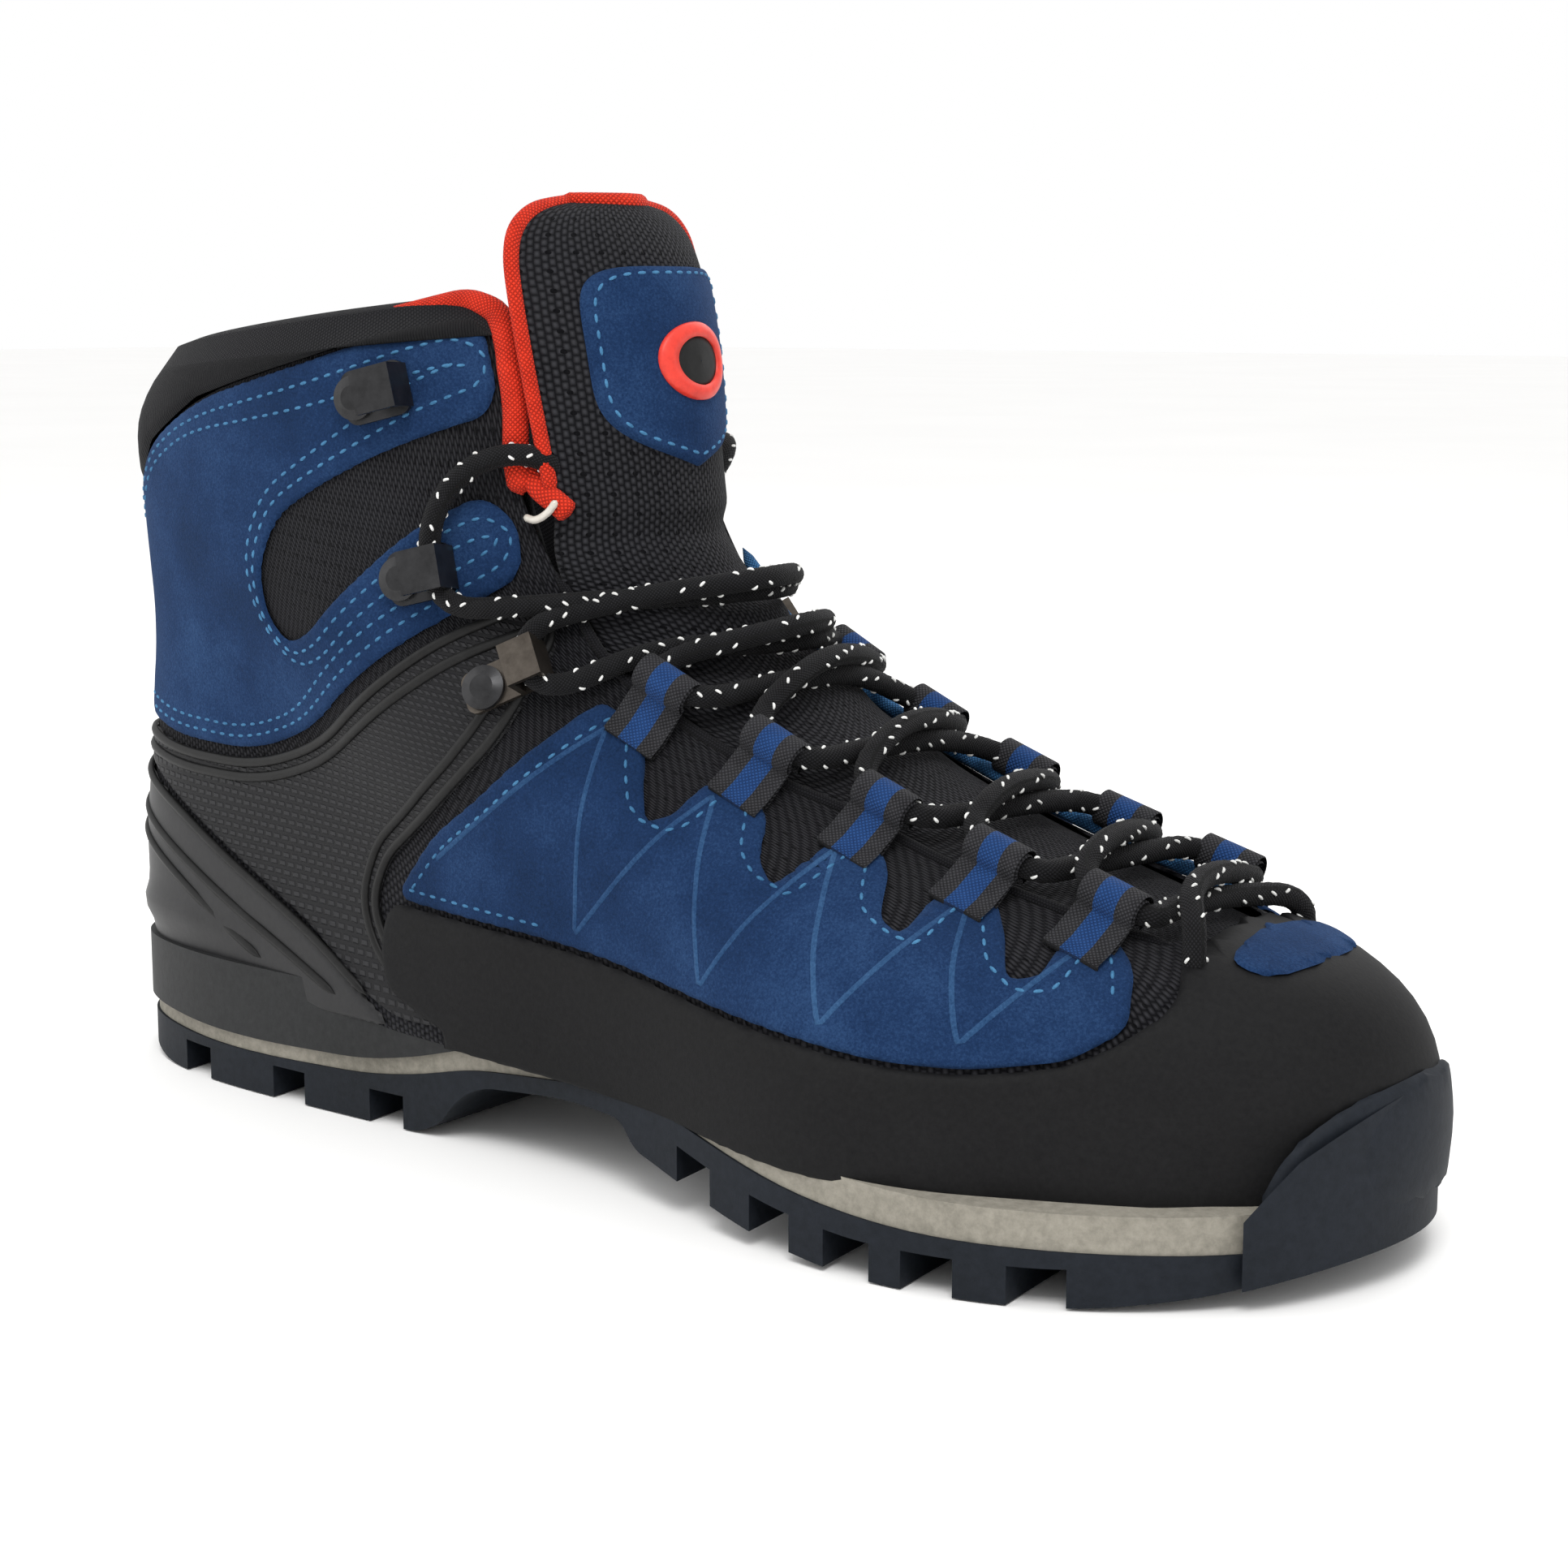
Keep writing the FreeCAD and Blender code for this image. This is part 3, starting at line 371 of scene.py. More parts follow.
def tube_rows(path, normals, radii, sides=10, flat=1.0):
    """Rings round a path: radii wide across, flat of that outwards."""
    ahead = unit(np.gradient(path, axis=0))
    out = unit(normals - ahead * np.sum(normals * ahead, axis=1, keepdims=True))
    across = np.cross(ahead, out)
    angle = np.arange(sides) / sides * 2 * math.pi
    return rings(path, across, out, angle, radii[:, None], flat)


def tube(name, path, normals, radius, mat, sides=10, flat=1.0, narrow=0.0):
    """A round or flattened tube with closed ends; narrow is the length over which it thickens."""
    run = run_along(path)
    radii = radius * np.clip(0.35 + 0.65 * run / max(narrow, 1e-6), 0.35, 1.0)
    radii[[0, -1]] *= 0.05
    radii[[1, -2]] *= 0.75
    return grid_mesh(name, tube_rows(path, normals, radii, sides, flat), mat, closed=True)


def surface_tube(name, plane_path, lift, radius, mat, flat=0.7, step=1.6):
    path = resampled(np.asarray(plane_path), step, closed=False)
    return tube(name, lifted(path, lift), normal_at(path), radius, mat, 8, flat)


def merged(name, objs):
    """Several mesh objects as one."""
    verts, faces, uvs, mats = [], [], [], objs[0].data.materials[0]
    base = 0
    for o in objs:
        me = o.data
        co = np.empty(len(me.vertices) * 3)
        me.vertices.foreach_get("co", co)
        verts.append(co.reshape(-1, 3) / MM)
        faces += [tuple(v + base for v in p.vertices) for p in me.polygons]
        uv = np.zeros((len(me.vertices), 2))
        if me.uv_layers:
            for loop, data in zip(me.loops, me.uv_layers[0].data):
                uv[loop.vertex_index] = data.uv
        uvs.append(uv * UV_MM)
        base += len(me.vertices)
        bpy.data.objects.remove(o)
    return mesh_object(name, np.vstack(verts), faces, mats, np.vstack(uvs))


def threads(name, centres, ahead, outward, mat, length=2.1, radius=0.36, sink=0.05):
    """Many short stitches: a rounded thread with both ends dipping into the cloth."""
    along = np.array([-1.0, -0.8, -0.35, 0.35, 0.8, 1.0])
    size = np.array([0.25, 0.75, 1.0, 1.0, 0.75, 0.25])
    drop = np.array([-1.0, -0.45, 0.0, 0.0, -0.45, -1.0])
    sides = 6
    angle = np.arange(sides) / sides * 2 * math.pi
    centres, ahead, outward = map(np.asarray, (centres, ahead, outward))
    ahead = unit(ahead)
    outward = unit(outward - ahead * np.sum(outward * ahead, axis=1, keepdims=True))
    across = np.cross(ahead, outward)
    verts = np.stack([rings(centres + ahead * (a * length / 2) + outward * (d * radius - sink),
                            across, outward, angle, s * radius)
                      for a, s, d in zip(along, size, drop)], 1)
    per = len(along) * sides
    one = []
    for i in range(len(along) - 1):
        for j in range(sides):
            k = (j + 1) % sides
            one.append((i * sides + j, i * sides + k, (i + 1) * sides + k, (i + 1) * sides + j))
    one.append(tuple(range(sides))[::-1])
    one.append(tuple((len(along) - 1) * sides + j for j in range(sides)))
    faces = [tuple(n * per + v for v in f) for n in range(len(centres)) for f in one]
    return mesh_object(name, verts.reshape(-1, 3), faces, mat)


STITCH_PITCH = 3.3
STITCH_AHEAD = 0.8
WIDEST_GAP = 6


class Seam:
    """Collects stitches lying on the form."""

    def __init__(self):
        self.centres, self.ahead, self.outward = [], [], []

    def row(self, plane, lift, closed, where):
        line = resampled(plane, 0.5, closed)
        solid = lifted(line, lift)
        run = run_along(solid)
        at = np.arange(STITCH_PITCH / 2, run[-1], STITCH_PITCH)
        place = read_at(at, run, solid)
        step = read_at(at + STITCH_AHEAD, run, solid) - place
        good = np.linalg.norm(step, axis=1) > 0.1
        if where is not None:
            good &= where(place)
        self.centres.append(place[good])
        self.ahead.append(step[good])
        self.outward.append(normal_at(read_at(at, run, line))[good])

    def inset_rows(self, outline, insets, lift, where):
        """Rows inside an outline, broken where the inset line jumps a gap."""
        for d in insets:
            moved, good = inset(outline, d)
            ring = moved[good]
            jumps = np.linalg.norm(np.roll(ring, -1, 0) - ring, axis=1) > WIDEST_GAP
            if not jumps.any():
                self.row(ring, lift, True, where)
                continue
            ring = np.roll(ring, -(int(np.argmax(jumps)) + 1), 0)
            cuts = np.where(np.linalg.norm(np.diff(ring, axis=0), axis=1) > WIDEST_GAP)[0] + 1
            for part in np.split(ring, cuts):
                if len(part) > 4:
                    self.row(part, lift, False, where)

    def build(self, name, mat):
        return threads(name, np.vstack(self.centres), np.vstack(self.ahead), np.vstack(self.outward), mat)


# ---------------------------------------------------------------- materials

class Shade:
    """One material's node tree, with short calls for its nodes."""

    def __init__(self, name, roughness, sheen=0.0, specular=0.4, coat=0.0, metallic=0.0):
        self.mat = bpy.data.materials.new(name)
        self.mat.use_nodes = True
        self.nodes = self.mat.node_tree.nodes
        self.link = self.mat.node_tree.links.new
        self.nodes.clear()
        out = self.nodes.new("ShaderNodeOutputMaterial")
        self.shader = self.nodes.new("ShaderNodeBsdfPrincipled")
        self.link(self.shader.outputs[0], out.inputs[0])
        for socket, value in (("Roughness", roughness), ("Sheen Weight", sheen),
                              ("Sheen Roughness", 0.45), ("Specular IOR Level", specular),
                              ("Coat Weight", coat), ("Metallic", metallic)):
            self.shader.inputs[socket].default_value = value

    def noise(self, scale, detail=4, rough=0.6):
        n = self.nodes.new("ShaderNodeTexNoise")
        for socket, value in (("Scale", scale), ("Detail", detail), ("Roughness", rough)):
            n.inputs[socket].default_value = value
        place = self.nodes.new("ShaderNodeTexCoord")
        self.link(place.outputs["Object"], n.inputs["Vector"])
        return n.outputs["Fac"]

    def maths(self, op, *values):
        n = self.nodes.new("ShaderNodeMath")
        n.operation = op
        for socket, value in zip(n.inputs, values):
            if isinstance(value, (int, float)):
                socket.default_value = value
            else:
                self.link(value, socket)
        return n.outputs[0]

    def times(self, a, b):
        return self.maths("MULTIPLY", a, b)

    def wave(self, x, period):
        return self.maths("SINE", self.times(x, math.pi / period))

    def loops(self, x, period):
        return self.maths("ABSOLUTE", self.wave(x, period))

    def from_middle(self, x):
        """Distance from the middle of each unit cell."""
        return self.maths("ABSOLUTE", self.maths("SUBTRACT", self.maths("FRACT", x), 0.5))

    def flat(self):
        """The piece's own flat coordinates, in mm."""
        split = self.nodes.new("ShaderNodeSeparateXYZ")
        self.link(self.nodes.new("ShaderNodeTexCoord").outputs["UV"], split.inputs[0])
        return [self.times(split.outputs[k], UV_MM) for k in (0, 1)]

    def ramp(self, tone, *stops):
        r = self.nodes.new("ShaderNodeValToRGB")
        for position, colour in stops[1:-1]:
            r.color_ramp.elements.new(position)
        for element, (position, colour) in zip(r.color_ramp.elements, stops):
            element.position = position
            element.color = (*colour, 1)
        self.link(tone, r.inputs[0])
        return r.outputs[0]

    def paint(self, colour):
        self.link(colour, self.shader.inputs["Base Color"])

    def bump(self, height, distance):
        b = self.nodes.new("ShaderNodeBump")
        b.inputs["Distance"].default_value = distance
        self.link(height, b.inputs["Height"])
        self.link(b.outputs[0], self.shader.inputs["Normal"])
        return self.mat


def grained(name, dark, light, roughness, scale, grain, sheen=0.0, specular=0.4, coat=0.0, metallic=0.0,
            broad=22):
    """Colour that varies broadly and finely, with a grain in its bump."""
    s = Shade(name, roughness, sheen, specular, coat, metallic)
    wide, fine = s.noise(broad, 3), s.noise(scale, 5, 0.7)
    both = s.maths("MULTIPLY_ADD", fine, 0.5, s.times(wide, 0.5))
    s.paint(s.ramp(both, (0.36, dark), (0.64, light)))
    s.link(s.maths("MULTIPLY_ADD", wide, 0.22, roughness - 0.11), s.shader.inputs["Roughness"])
    return s.bump(fine, grain)


def knit(name, dark, light, wale, course, depth, sheen=0.03, pores=None):
    """Rows of small loops: two offset ladders of ovals in the piece's flat coordinates."""
    s = Shade(name, 0.88, sheen, 0.1)
    u, v = s.flat()
    u = s.maths("MULTIPLY_ADD", s.noise(260, 3), 0.5, u)
    offset = s.times(s.maths("SIGN", s.wave(u, wale)), 0.25)
    rows = s.maths("ADD", s.maths("DIVIDE", v, course), offset)
    height = s.times(s.loops(u, wale), s.loops(rows, 1))
    if pores:
        spot = s.maths("GREATER_THAN", s.times(s.loops(u, pores), s.loops(v, pores)), 0.93)
        height = s.maths("SUBTRACT", height, s.times(spot, 0.9))
    tone = s.maths("MULTIPLY_ADD", s.noise(30, 3), 0.35, s.times(height, 0.75))
    s.paint(s.ramp(tone, (0.18, dark), (0.85, light)))
    return s.bump(height, depth)


def suede(name, deep, dark, light):
    s = Shade(name, 0.95, 0.12, 0.06)
    s.shader.inputs["Sheen Tint"].default_value = (0.3, 0.45, 0.8, 1)
    nap, brushed, cloud = s.noise(1900, 3, 0.75), s.noise(45, 5, 0.6), s.noise(14, 2)
    tone = s.maths("MULTIPLY_ADD", brushed, 0.38, s.times(cloud, 0.2))
    tone = s.maths("MULTIPLY_ADD", nap, 0.42, tone)
    s.paint(s.ramp(tone, (0.36, deep), (0.5, dark), (0.64, light)))
    return s.bump(s.maths("ADD", nap, s.times(brushed, 1.5)), 0.00022)


def dashed_coat(name, dark, light):
    """Coated cloth with rows of small raised dashes."""
    s = Shade(name, 0.6, 0.0, 0.2)
    u, v = s.flat()
    row = s.maths("DIVIDE", v, 1.7)
    shifted = s.maths("ADD", s.maths("DIVIDE", u, 2.6), s.times(s.maths("FLOOR", row), 0.5))
    slopes = []
    for cell, half in ((shifted, 0.40), (row, 0.33)):
        slope = s.times(s.maths("SUBTRACT", half, s.from_middle(cell)), 8.0)
        slopes.append(s.maths("SMOOTH_MIN", slope, 1.0, 0.2))
    height = s.maths("MAXIMUM", s.maths("MINIMUM", *slopes), 0.0)
    grime = s.noise(60, 4)
    tone = s.maths("MULTIPLY_ADD", height, 0.6, s.times(grime, 0.4))
    s.paint(s.ramp(tone, (0.15, dark), (0.85, light)))
    s.link(s.maths("MULTIPLY_ADD", grime, 0.25, 0.42), s.shader.inputs["Roughness"])
    return s.bump(height, 0.00035)


def woven(name, colours, pitch, depth):
    """Plain weave; colours is (dark, light) or, with two more, a stripe down the middle."""
    s = Shade(name, 0.8, 0.03, 0.12)
    u, v = s.flat()
    warp = s.wave(s.maths("ADD", u, v), pitch)
    weft = s.wave(s.maths("SUBTRACT", u, v), pitch)
    height = s.maths("ABSOLUTE", s.times(warp, weft))
    tone = s.maths("MULTIPLY_ADD", s.noise(300, 3), 0.4, s.times(height, 0.6))
    colour = s.ramp(tone, (0.15, colours[0]), (0.8, colours[1]))
    if len(colours) > 2:
        mix = s.nodes.new("ShaderNodeMix")
        mix.data_type = "RGBA"
        s.link(s.maths("LESS_THAN", s.maths("ABSOLUTE", v), HALF_STRIPE), mix.inputs[0])
        s.link(colour, mix.inputs[6])
        s.link(s.ramp(tone, (0.15, colours[2]), (0.8, colours[3])), mix.inputs[7])
        colour = mix.outputs[2]
    s.paint(colour)
    return s.bump(height, depth)


SUEDE = suede("blue_suede", (0.005, 0.015, 0.042), (0.0095, 0.027, 0.078), (0.022, 0.055, 0.135))
KNIT = knit("black_knit", (0.002, 0.002, 0.003), (0.026, 0.026, 0.03), 1.15, 1.5, 0.00045, pores=3.4)
TONGUE_KNIT = knit("tongue_knit", (0.002, 0.002, 0.003), (0.03, 0.03, 0.034), 1.0, 1.7, 0.0005, pores=4.0)
SOFTSHELL = knit("softshell", (0.004, 0.004, 0.005), (0.014, 0.014, 0.016), 0.55, 0.6, 0.00012, 0.05)
LINING = knit("lining_mesh", (0.004, 0.004, 0.005), (0.03, 0.03, 0.033), 1.3, 1.3, 0.0004, 0.05)
COATED = dashed_coat("dashed_coat", (0.004, 0.004, 0.005), (0.02, 0.02, 0.022))
RUBBER = grained("rand_rubber", (0.003, 0.003, 0.0035), (0.0085, 0.0085, 0.009), 0.7, 900, 0.00007,
                 specular=0.16)
COUNTER_MAT = grained("counter_shell", (0.007, 0.007, 0.008), (0.016, 0.016, 0.017), 0.45, 700, 0.00003,
                      specular=0.3)
WEDGE = grained("wedge_foam", (0.008, 0.0085, 0.009), (0.02, 0.021, 0.022), 0.6, 600, 0.00006, specular=0.25)
STRIPE = grained("midsole_foam", (0.15, 0.14, 0.115), (0.3, 0.28, 0.235), 0.75, 500, 0.00008, specular=0.2)
LUGS = grained("lug_rubber", (0.004, 0.006, 0.009), (0.011, 0.014, 0.02), 0.65, 500, 0.00008, specular=0.18)
METAL = grained("black_metal", (0.01, 0.01, 0.011), (0.03, 0.03, 0.032), 0.3, 400, 0.00001, specular=0.6,
                metallic=0.6, broad=90)
BRONZE = grained("worn_metal", (0.05, 0.042, 0.035), (0.11, 0.095, 0.08), 0.32, 400, 0.00001, metallic=0.85)
STEEL = grained("shank_steel", (0.3, 0.3, 0.31), (0.5, 0.5, 0.52), 0.35, 400, 0.00001, metallic=0.9)
BOARD = grained("board_fibre", (0.16, 0.13, 0.09), (0.3, 0.25, 0.18), 0.85, 500, 0.0001)
RED = woven("red_braid", ((0.3, 0.012, 0.005), (0.85, 0.05, 0.02)), 1.0, 0.0003)
WEBBING = woven("loop_webbing", ((0.008, 0.008, 0.009), (0.045, 0.045, 0.05),
                                 (0.006, 0.025, 0.09), (0.02, 0.07, 0.22)), 0.9, 0.00022)
PIPING = woven("edge_braid", ((0.012, 0.05, 0.13), (0.06, 0.2, 0.42)), 0.8, 0.0002)
THREAD = grained("blue_thread", (0.02, 0.09, 0.19), (0.07, 0.22, 0.4), 0.7, 1500, 0.00005, specular=0.2)
WHITE_THREAD = grained("white_thread", (0.55, 0.55, 0.53), (0.9, 0.9, 0.88), 0.75, 1500, 0.00005)
LACE_MAT = woven("lace_braid", ((0.002, 0.002, 0.002), (0.016, 0.016, 0.018)), 0.75, 0.00018)
GHOST = suede("printed_line", (0.01, 0.03, 0.085), (0.022, 0.06, 0.14), (0.04, 0.1, 0.21))
FOOTBED = woven("footbed_cloth", ((0.02, 0.02, 0.022), (0.08, 0.08, 0.085)), 1.4, 0.0003)
BADGE_RED = grained("badge_red", (0.5, 0.02, 0.012), (0.75, 0.045, 0.025), 0.4, 500, 0.00003)
BADGE_BLACK = grained("badge_black", (0.003, 0.003, 0.003), (0.01, 0.01, 0.01), 0.5, 500, 0.00003,
                      specular=0.22)
CLEAR = grained("tag_plastic", (0.5, 0.46, 0.4), (0.75, 0.72, 0.66), 0.2, 200, 0.00002, coat=0.5)

CAD_MATERIALS = {
    "outsole": LUGS, "toe_bumper": LUGS, "midsole": STRIPE, "heel_stabiliser": WEDGE, "shank": STEEL,
    "insole_board": BOARD,
}
for side_name in ("_lateral", "_medial"):
    CAD_MATERIALS["lace_ring" + side_name] = BRONZE
    for hardware in ("rivets", "upper_hook", "lower_hook"):
        CAD_MATERIALS[hardware + side_name] = METAL
for name, mat in CAD_MATERIALS.items():
    slots = NODES[name].data.materials
    if slots:
        slots[0] = mat
    else:
        slots.append(mat)

# ---------------------------------------------------------------- lace

GUIDES = (
    (109, -17.5, 25.5, 65.5, (-0.93, 0, 0.36)),
    (86, -20, 26, 71.5, (-0.93, 0, 0.36)),
    (62.5, -22.5, 26.5, 79.3, (-0.93, 0, 0.36)),
    (39.5, -26, 28.5, 88, (-0.93, 0, 0.36)),
    (16.8, -30.5, 31.5, 98.3, (-0.9, 0.1, 0.4)),
    (-10, -41, 40.5, 101.3, (-0.5, 0.2, 0.83)),
    (-33.7, -42.3, 41.5, 118.4, (-0.26, 0.05, 0.96)),
)
CROSSINGS = (
    (116.5, 63.2, 0.25, 0.97),
    (97.5, 68.8, 0.28, 0.96),
    (74.5, 76.2, 0.38, 0.93),
    (51, 86.5, 0.48, 0.88),
    (31.5, 98.2, 0.6, 0.8),
    (25, 104.6, 0.66, 0.75),
    (16.5, 114.2, 0.8, 0.6),
)
HALF_PASSAGE = 8
CROSSING_HALF = 9
CROSSING_TILT = 1.2
STAND_OFF = LACE + 0.5
HOLE_WAY = ((125.5, -17.5, 26.5, 61.5), (124, -16.2, 24.6, 46.8))
BAR_MIDDLE = (122.5, 4, 4, 45.6)
TO_RING = ((9.5, -26, 26.8, 104.6),)
FROM_RING = ((0.7, -25.8, 26.4, 113.2),)
TO_HOOK = ((0.7, -25.8, 26.4, 113.2), (-14.8, -38, 37.4, 111.8))
TUCKED = ((-30, -38.6, 38.6, 137.5), (-20, -34.2, 34.2, 142), (-13.5, -27, 27, 139.5),
          (-15, -19.5, 19.5, 131), (-18, -17, 17, 120), (-19.5, -18, 18, 109.5))


def sided(place, side):
    x, lateral_y, medial_y, z = place
    return np.array([x - MID_X, lateral_y if side < 0 else medial_y, z], float)


def passage_end(guide, side, way):
    x, inwards, z = guide[4]
    return sided(guide[:4], side) + np.array([x, -inwards * side, z]) * (way * HALF_PASSAGE)


def crossing_pair(row, side, over):
    x, z, out_x, out_z = CROSSINGS[row]
    lift = STAND_OFF if over else 0
    middle = np.array([x - MID_X + out_x * lift, 0, z + out_z * lift])
    lean = np.array([CROSSING_TILT, CROSSING_HALF * side, 0])
    return [middle + lean, middle - lean]


def lace_half(side, first_over):
    points = [sided(HOLE_WAY[1], side), sided(HOLE_WAY[0], side)]
    for row, guide in enumerate(GUIDES):
        before = FROM_RING if row == 6 else ()
        after = {5: TO_RING, 6: TO_HOOK}.get(row, ())
        points += [sided(place, side) for place in before]
        points += crossing_pair(row, side, first_over == (row % 2 == 0))
        side = -side
        points += [sided(place, side) for place in after]
        points += [passage_end(guide, side, -1), passage_end(guide, side, 1)]
    return points + [sided(place, side) for place in TUCKED]


lace_points = lace_half(-1, True)[::-1] + [sided(BAR_MIDDLE, 1)] + lace_half(1, False)
curve = bpy.data.curves.new("lace_line", "CURVE")
curve.dimensions = "3D"
spline = curve.splines.new("NURBS")
spline.points.add(len(lace_points) - 1)
for slot_point, p in zip(spline.points, lace_points):
    slot_point.co = (*(p * MM), 1)
spline.order_u = 3
spline.use_endpoint_u = True
spline.resolution_u = 12
line_object = bpy.data.objects.new("lace_line", curve)
bpy.context.scene.collection.objects.link(line_object)
evaluated = bpy.data.meshes.new_from_object(line_object)
line = np.array([tuple(v.co) for v in evaluated.vertices]) / MM
bpy.data.objects.remove(line_object)
LACE_STEP = 0.55
line = resampled(line, LACE_STEP, closed=False)
ahead = unit(np.gradient(line, axis=0))
out = np.zeros_like(line)
out[0] = unit(np.cross(ahead[0], np.array([0.3, 1.0, 0.2])))
for i in range(1, len(line)):
    out[i] = unit(out[i - 1] - ahead[i] * np.dot(out[i - 1], ahead[i]))
across = np.cross(ahead, out)
lace_run = run_along(line)
SIDES = 20
angle = np.arange(SIDES) / SIDES * 2 * math.pi
STRANDS = 4
BRAID_TURN = 1.25
ridge = (np.abs(np.sin(STRANDS * angle[None] + lace_run[:, None] * BRAID_TURN))
         * np.abs(np.sin(STRANDS * angle[None] - lace_run[:, None] * BRAID_TURN)))
radius = LACE / 2 * (0.93 + 0.07 * ridge ** 0.5)
radius[0] = radius[-1] = 0.05
rows = rings(line, across, out, angle, radius)
uv = np.stack(np.broadcast_arrays(lace_run[:, None], angle[None] * LACE / 2), -1)
lace = grid_mesh("lace_braid", rows, LACE_MAT, closed=True, uv=uv.reshape(-1, 2))
keep(lace, "boot", ["lace"])
FLECK_PITCH = 3.4
FLECK_TURN = 2.4
BARE_END = 4
starts, heads, ups = [], [], []
for n, s in enumerate(np.arange(BARE_END, lace_run[-1] - BARE_END, FLECK_PITCH)):
    i = int(np.searchsorted(lace_run, s))
    for k in range(3):
        turn = n * FLECK_TURN + k * 2 * math.pi / 3
        face = across[i] * math.cos(turn) + out[i] * math.sin(turn)
        slant = np.cross(face, ahead[i]) * (0.75 if (n + k) % 2 else -0.75)
        starts.append(line[i] + face * (LACE / 2 + 0.03))
        heads.append(ahead[i] + slant)
        ups.append(face)
keep_fleck = [i for i in range(len(starts)) if (i // 3) % 4 in (0, 1) or i % 3 == 0]
flecks = threads("lace_flecks", np.array(starts)[keep_fleck], np.array(heads)[keep_fleck],
                 np.array(ups)[keep_fleck], WHITE_THREAD, 1.5, 0.3, 0.0)
keep(flecks, "boot")

# ---------------------------------------------------------------- upper panels

FACING = ((124, 70), (119, 58), (101, 62), (80, 67.5), (68, 71.5), (55, 76.5), (41, 81),
          (28, 86.5), (17, 92), (8, 97), (-2, 104), (-13, 119), (-19, 129), (-22, 140),
          (-22.5, 151), (-25, 163))
SEAM_LINE = ((-160, 123), (-147, 124), (-139, 127), (-127, 141), (-105, 151), (-69, 159.5),
             (-45, 166), (-33, 168), (-28, 164))
SUEDE_ANKLE = (
    (-137, 79), (-122, 76), (-95, 75.5), (-74, 82.5), (-54, 96), (-33, 108.5),
    (-18.5, 117), (-21, 128), (-28, 133), (-42, 126), (-58, 113), (-68.5, 103.5),
    (-77, 100.5), (-83, 106), (-84, 116), (-78, 127), (-65, 134), (-46, 142.5), (-28, 148.5),
    (-26.5, 154), (-30, 165.5), (-36, 167), (-46, 165), (-69, 158.5), (-105, 150),
    (-127, 140), (-138.5, 126), (-140, 117), (-140.3, 104), (-140.6, 90), (-140, 82),
)
TEXTURE = (
    (-170, 77), (-140, 76.5), (-122, 73.5), (-95, 73), (-72, 80), (-52, 93.5), (-32, 106),
    (-18, 112.5), (-12, 109), (-9, 104), (-14, 87), (-31, 72), (-50, 57.5), (-54, 48),
    (-50, 40), (-34, 32), (-22, 25), (-48, 24), (-60, 29), (-74, 39.5), (-105, 53), (-141, 70),
    (-170, 71),
)
COUNTER = ((-170, 70), (-141, 68), (-105, 51), (-74, 37.5), (-58, 27), (-50, 22), (-100, 22), (-170, 22))
VAMP = (
    (-48, 50), (-36, 64), (-21, 74), (-3, 89), (3, 94), (9, 91), (14, 87), (17, 79),
    (20, 73), (25, 74.5), (28, 80), (35, 80), (42, 75), (45, 68), (50, 64), (53, 68),
    (56, 72), (62, 71.5), (68, 67), (72, 60), (77, 58), (78, 63.5), (82, 65.5), (89, 62.5),
    (94, 58), (98, 52.5), (103, 53), (103, 58.5), (111, 58), (117, 54), (120, 46),
    (112, 40.5), (96, 38), (80, 38.5), (64, 40.5), (44, 42.5), (4, 47.5),
)
RAND_TOP = ((-34, 24), (-50, 30), (-52, 40), (-49, 49), (4, 46.5), (44, 41.5), (64, 39.5), (80, 37.5),
            (96, 37), (112, 39.5), (121, 44.5), (126, 50), (122, 56), (124, 60))
RAND_BOTTOM = ((-34, 20), (22, 18), (64, 12), (120, 10))
TOE_PATCH = ((127.5, 57.2), (128, 56), (129.5, 54.2), (133.5, 52.6), (137.5, 52.0), (140, 52.6))

shell_line = list(SEAM_LINE) + list(FACING[::-1][:-1]) + [(123.5, 58.4)]
shell_top = side_to_plane(smooth_line(shell_line, 1.6), 1)
toe_low = np.array([[np.interp(TOE, ARC_T, ARC_X), 0.0]])
toe_high = np.array([[np.interp(TOE, ARC_T, ARC_X), shell_top[-1, 1]]])
corner = np.vstack([shell_top, toe_high, resampled(np.vstack([toe_high, toe_low]), 2, False)[1:]])
heel_x = float(np.interp(0, ARC_T, ARC_X))
bottom_x = np.arange(toe_low[0, 0] - 2, heel_x, -2.0)
half = np.vstack([corner, np.stack([bottom_x, np.zeros(len(bottom_x))], -1)])
mirror = half[::-1].copy()
mirror[:, 0] = 2 * heel_x - mirror[:, 0]
outline = np.vstack([half, mirror])
keep(patch("shell_knit", outline, 0.5, -0.55, KNIT, grid=3.0), "boot", ["upper_shell"])

seams = Seam()
for side, name in ((-1, "lateral"), (1, "medial")):
    ankle = one_side(SUEDE_ANKLE, side)
    keep(patch("ankle_suede_cut_" + name, ankle, 1.1, 0.25, SUEDE), "boot",
         ["ankle_suede_" + name])
    seams.inset_rows(ankle, (2.3, 4.6), 1.35, where=lambda p: p[:, 0] > -140)
    vamp = one_side(VAMP, side, 1.1, 0.32)
    keep(patch("vamp_cut_" + name, vamp, 1.1, 0.25, SUEDE), "boot", ["vamp_suede_" + name])
    seams.inset_rows(vamp, (2.4,), 1.35, where=lambda p: (p[:, 2] > 50.5) | (p[:, 0] < -40))

texture = both_sides(TEXTURE)
keep(patch("ankle_coat", texture, 0.8, 0.1, COATED), "boot",
     ["ankle_panel_lateral", "ankle_panel_medial"])
counter = both_sides(COUNTER)


def ledge(at, plane, edge):
    """The proud rib round the heel, fading out forwards."""
    return 1.6 * np.exp(-((at[:, 2] - 36) / 3.2) ** 2) * np.clip((-95 - at[:, 0]) / 25, 0, 1)


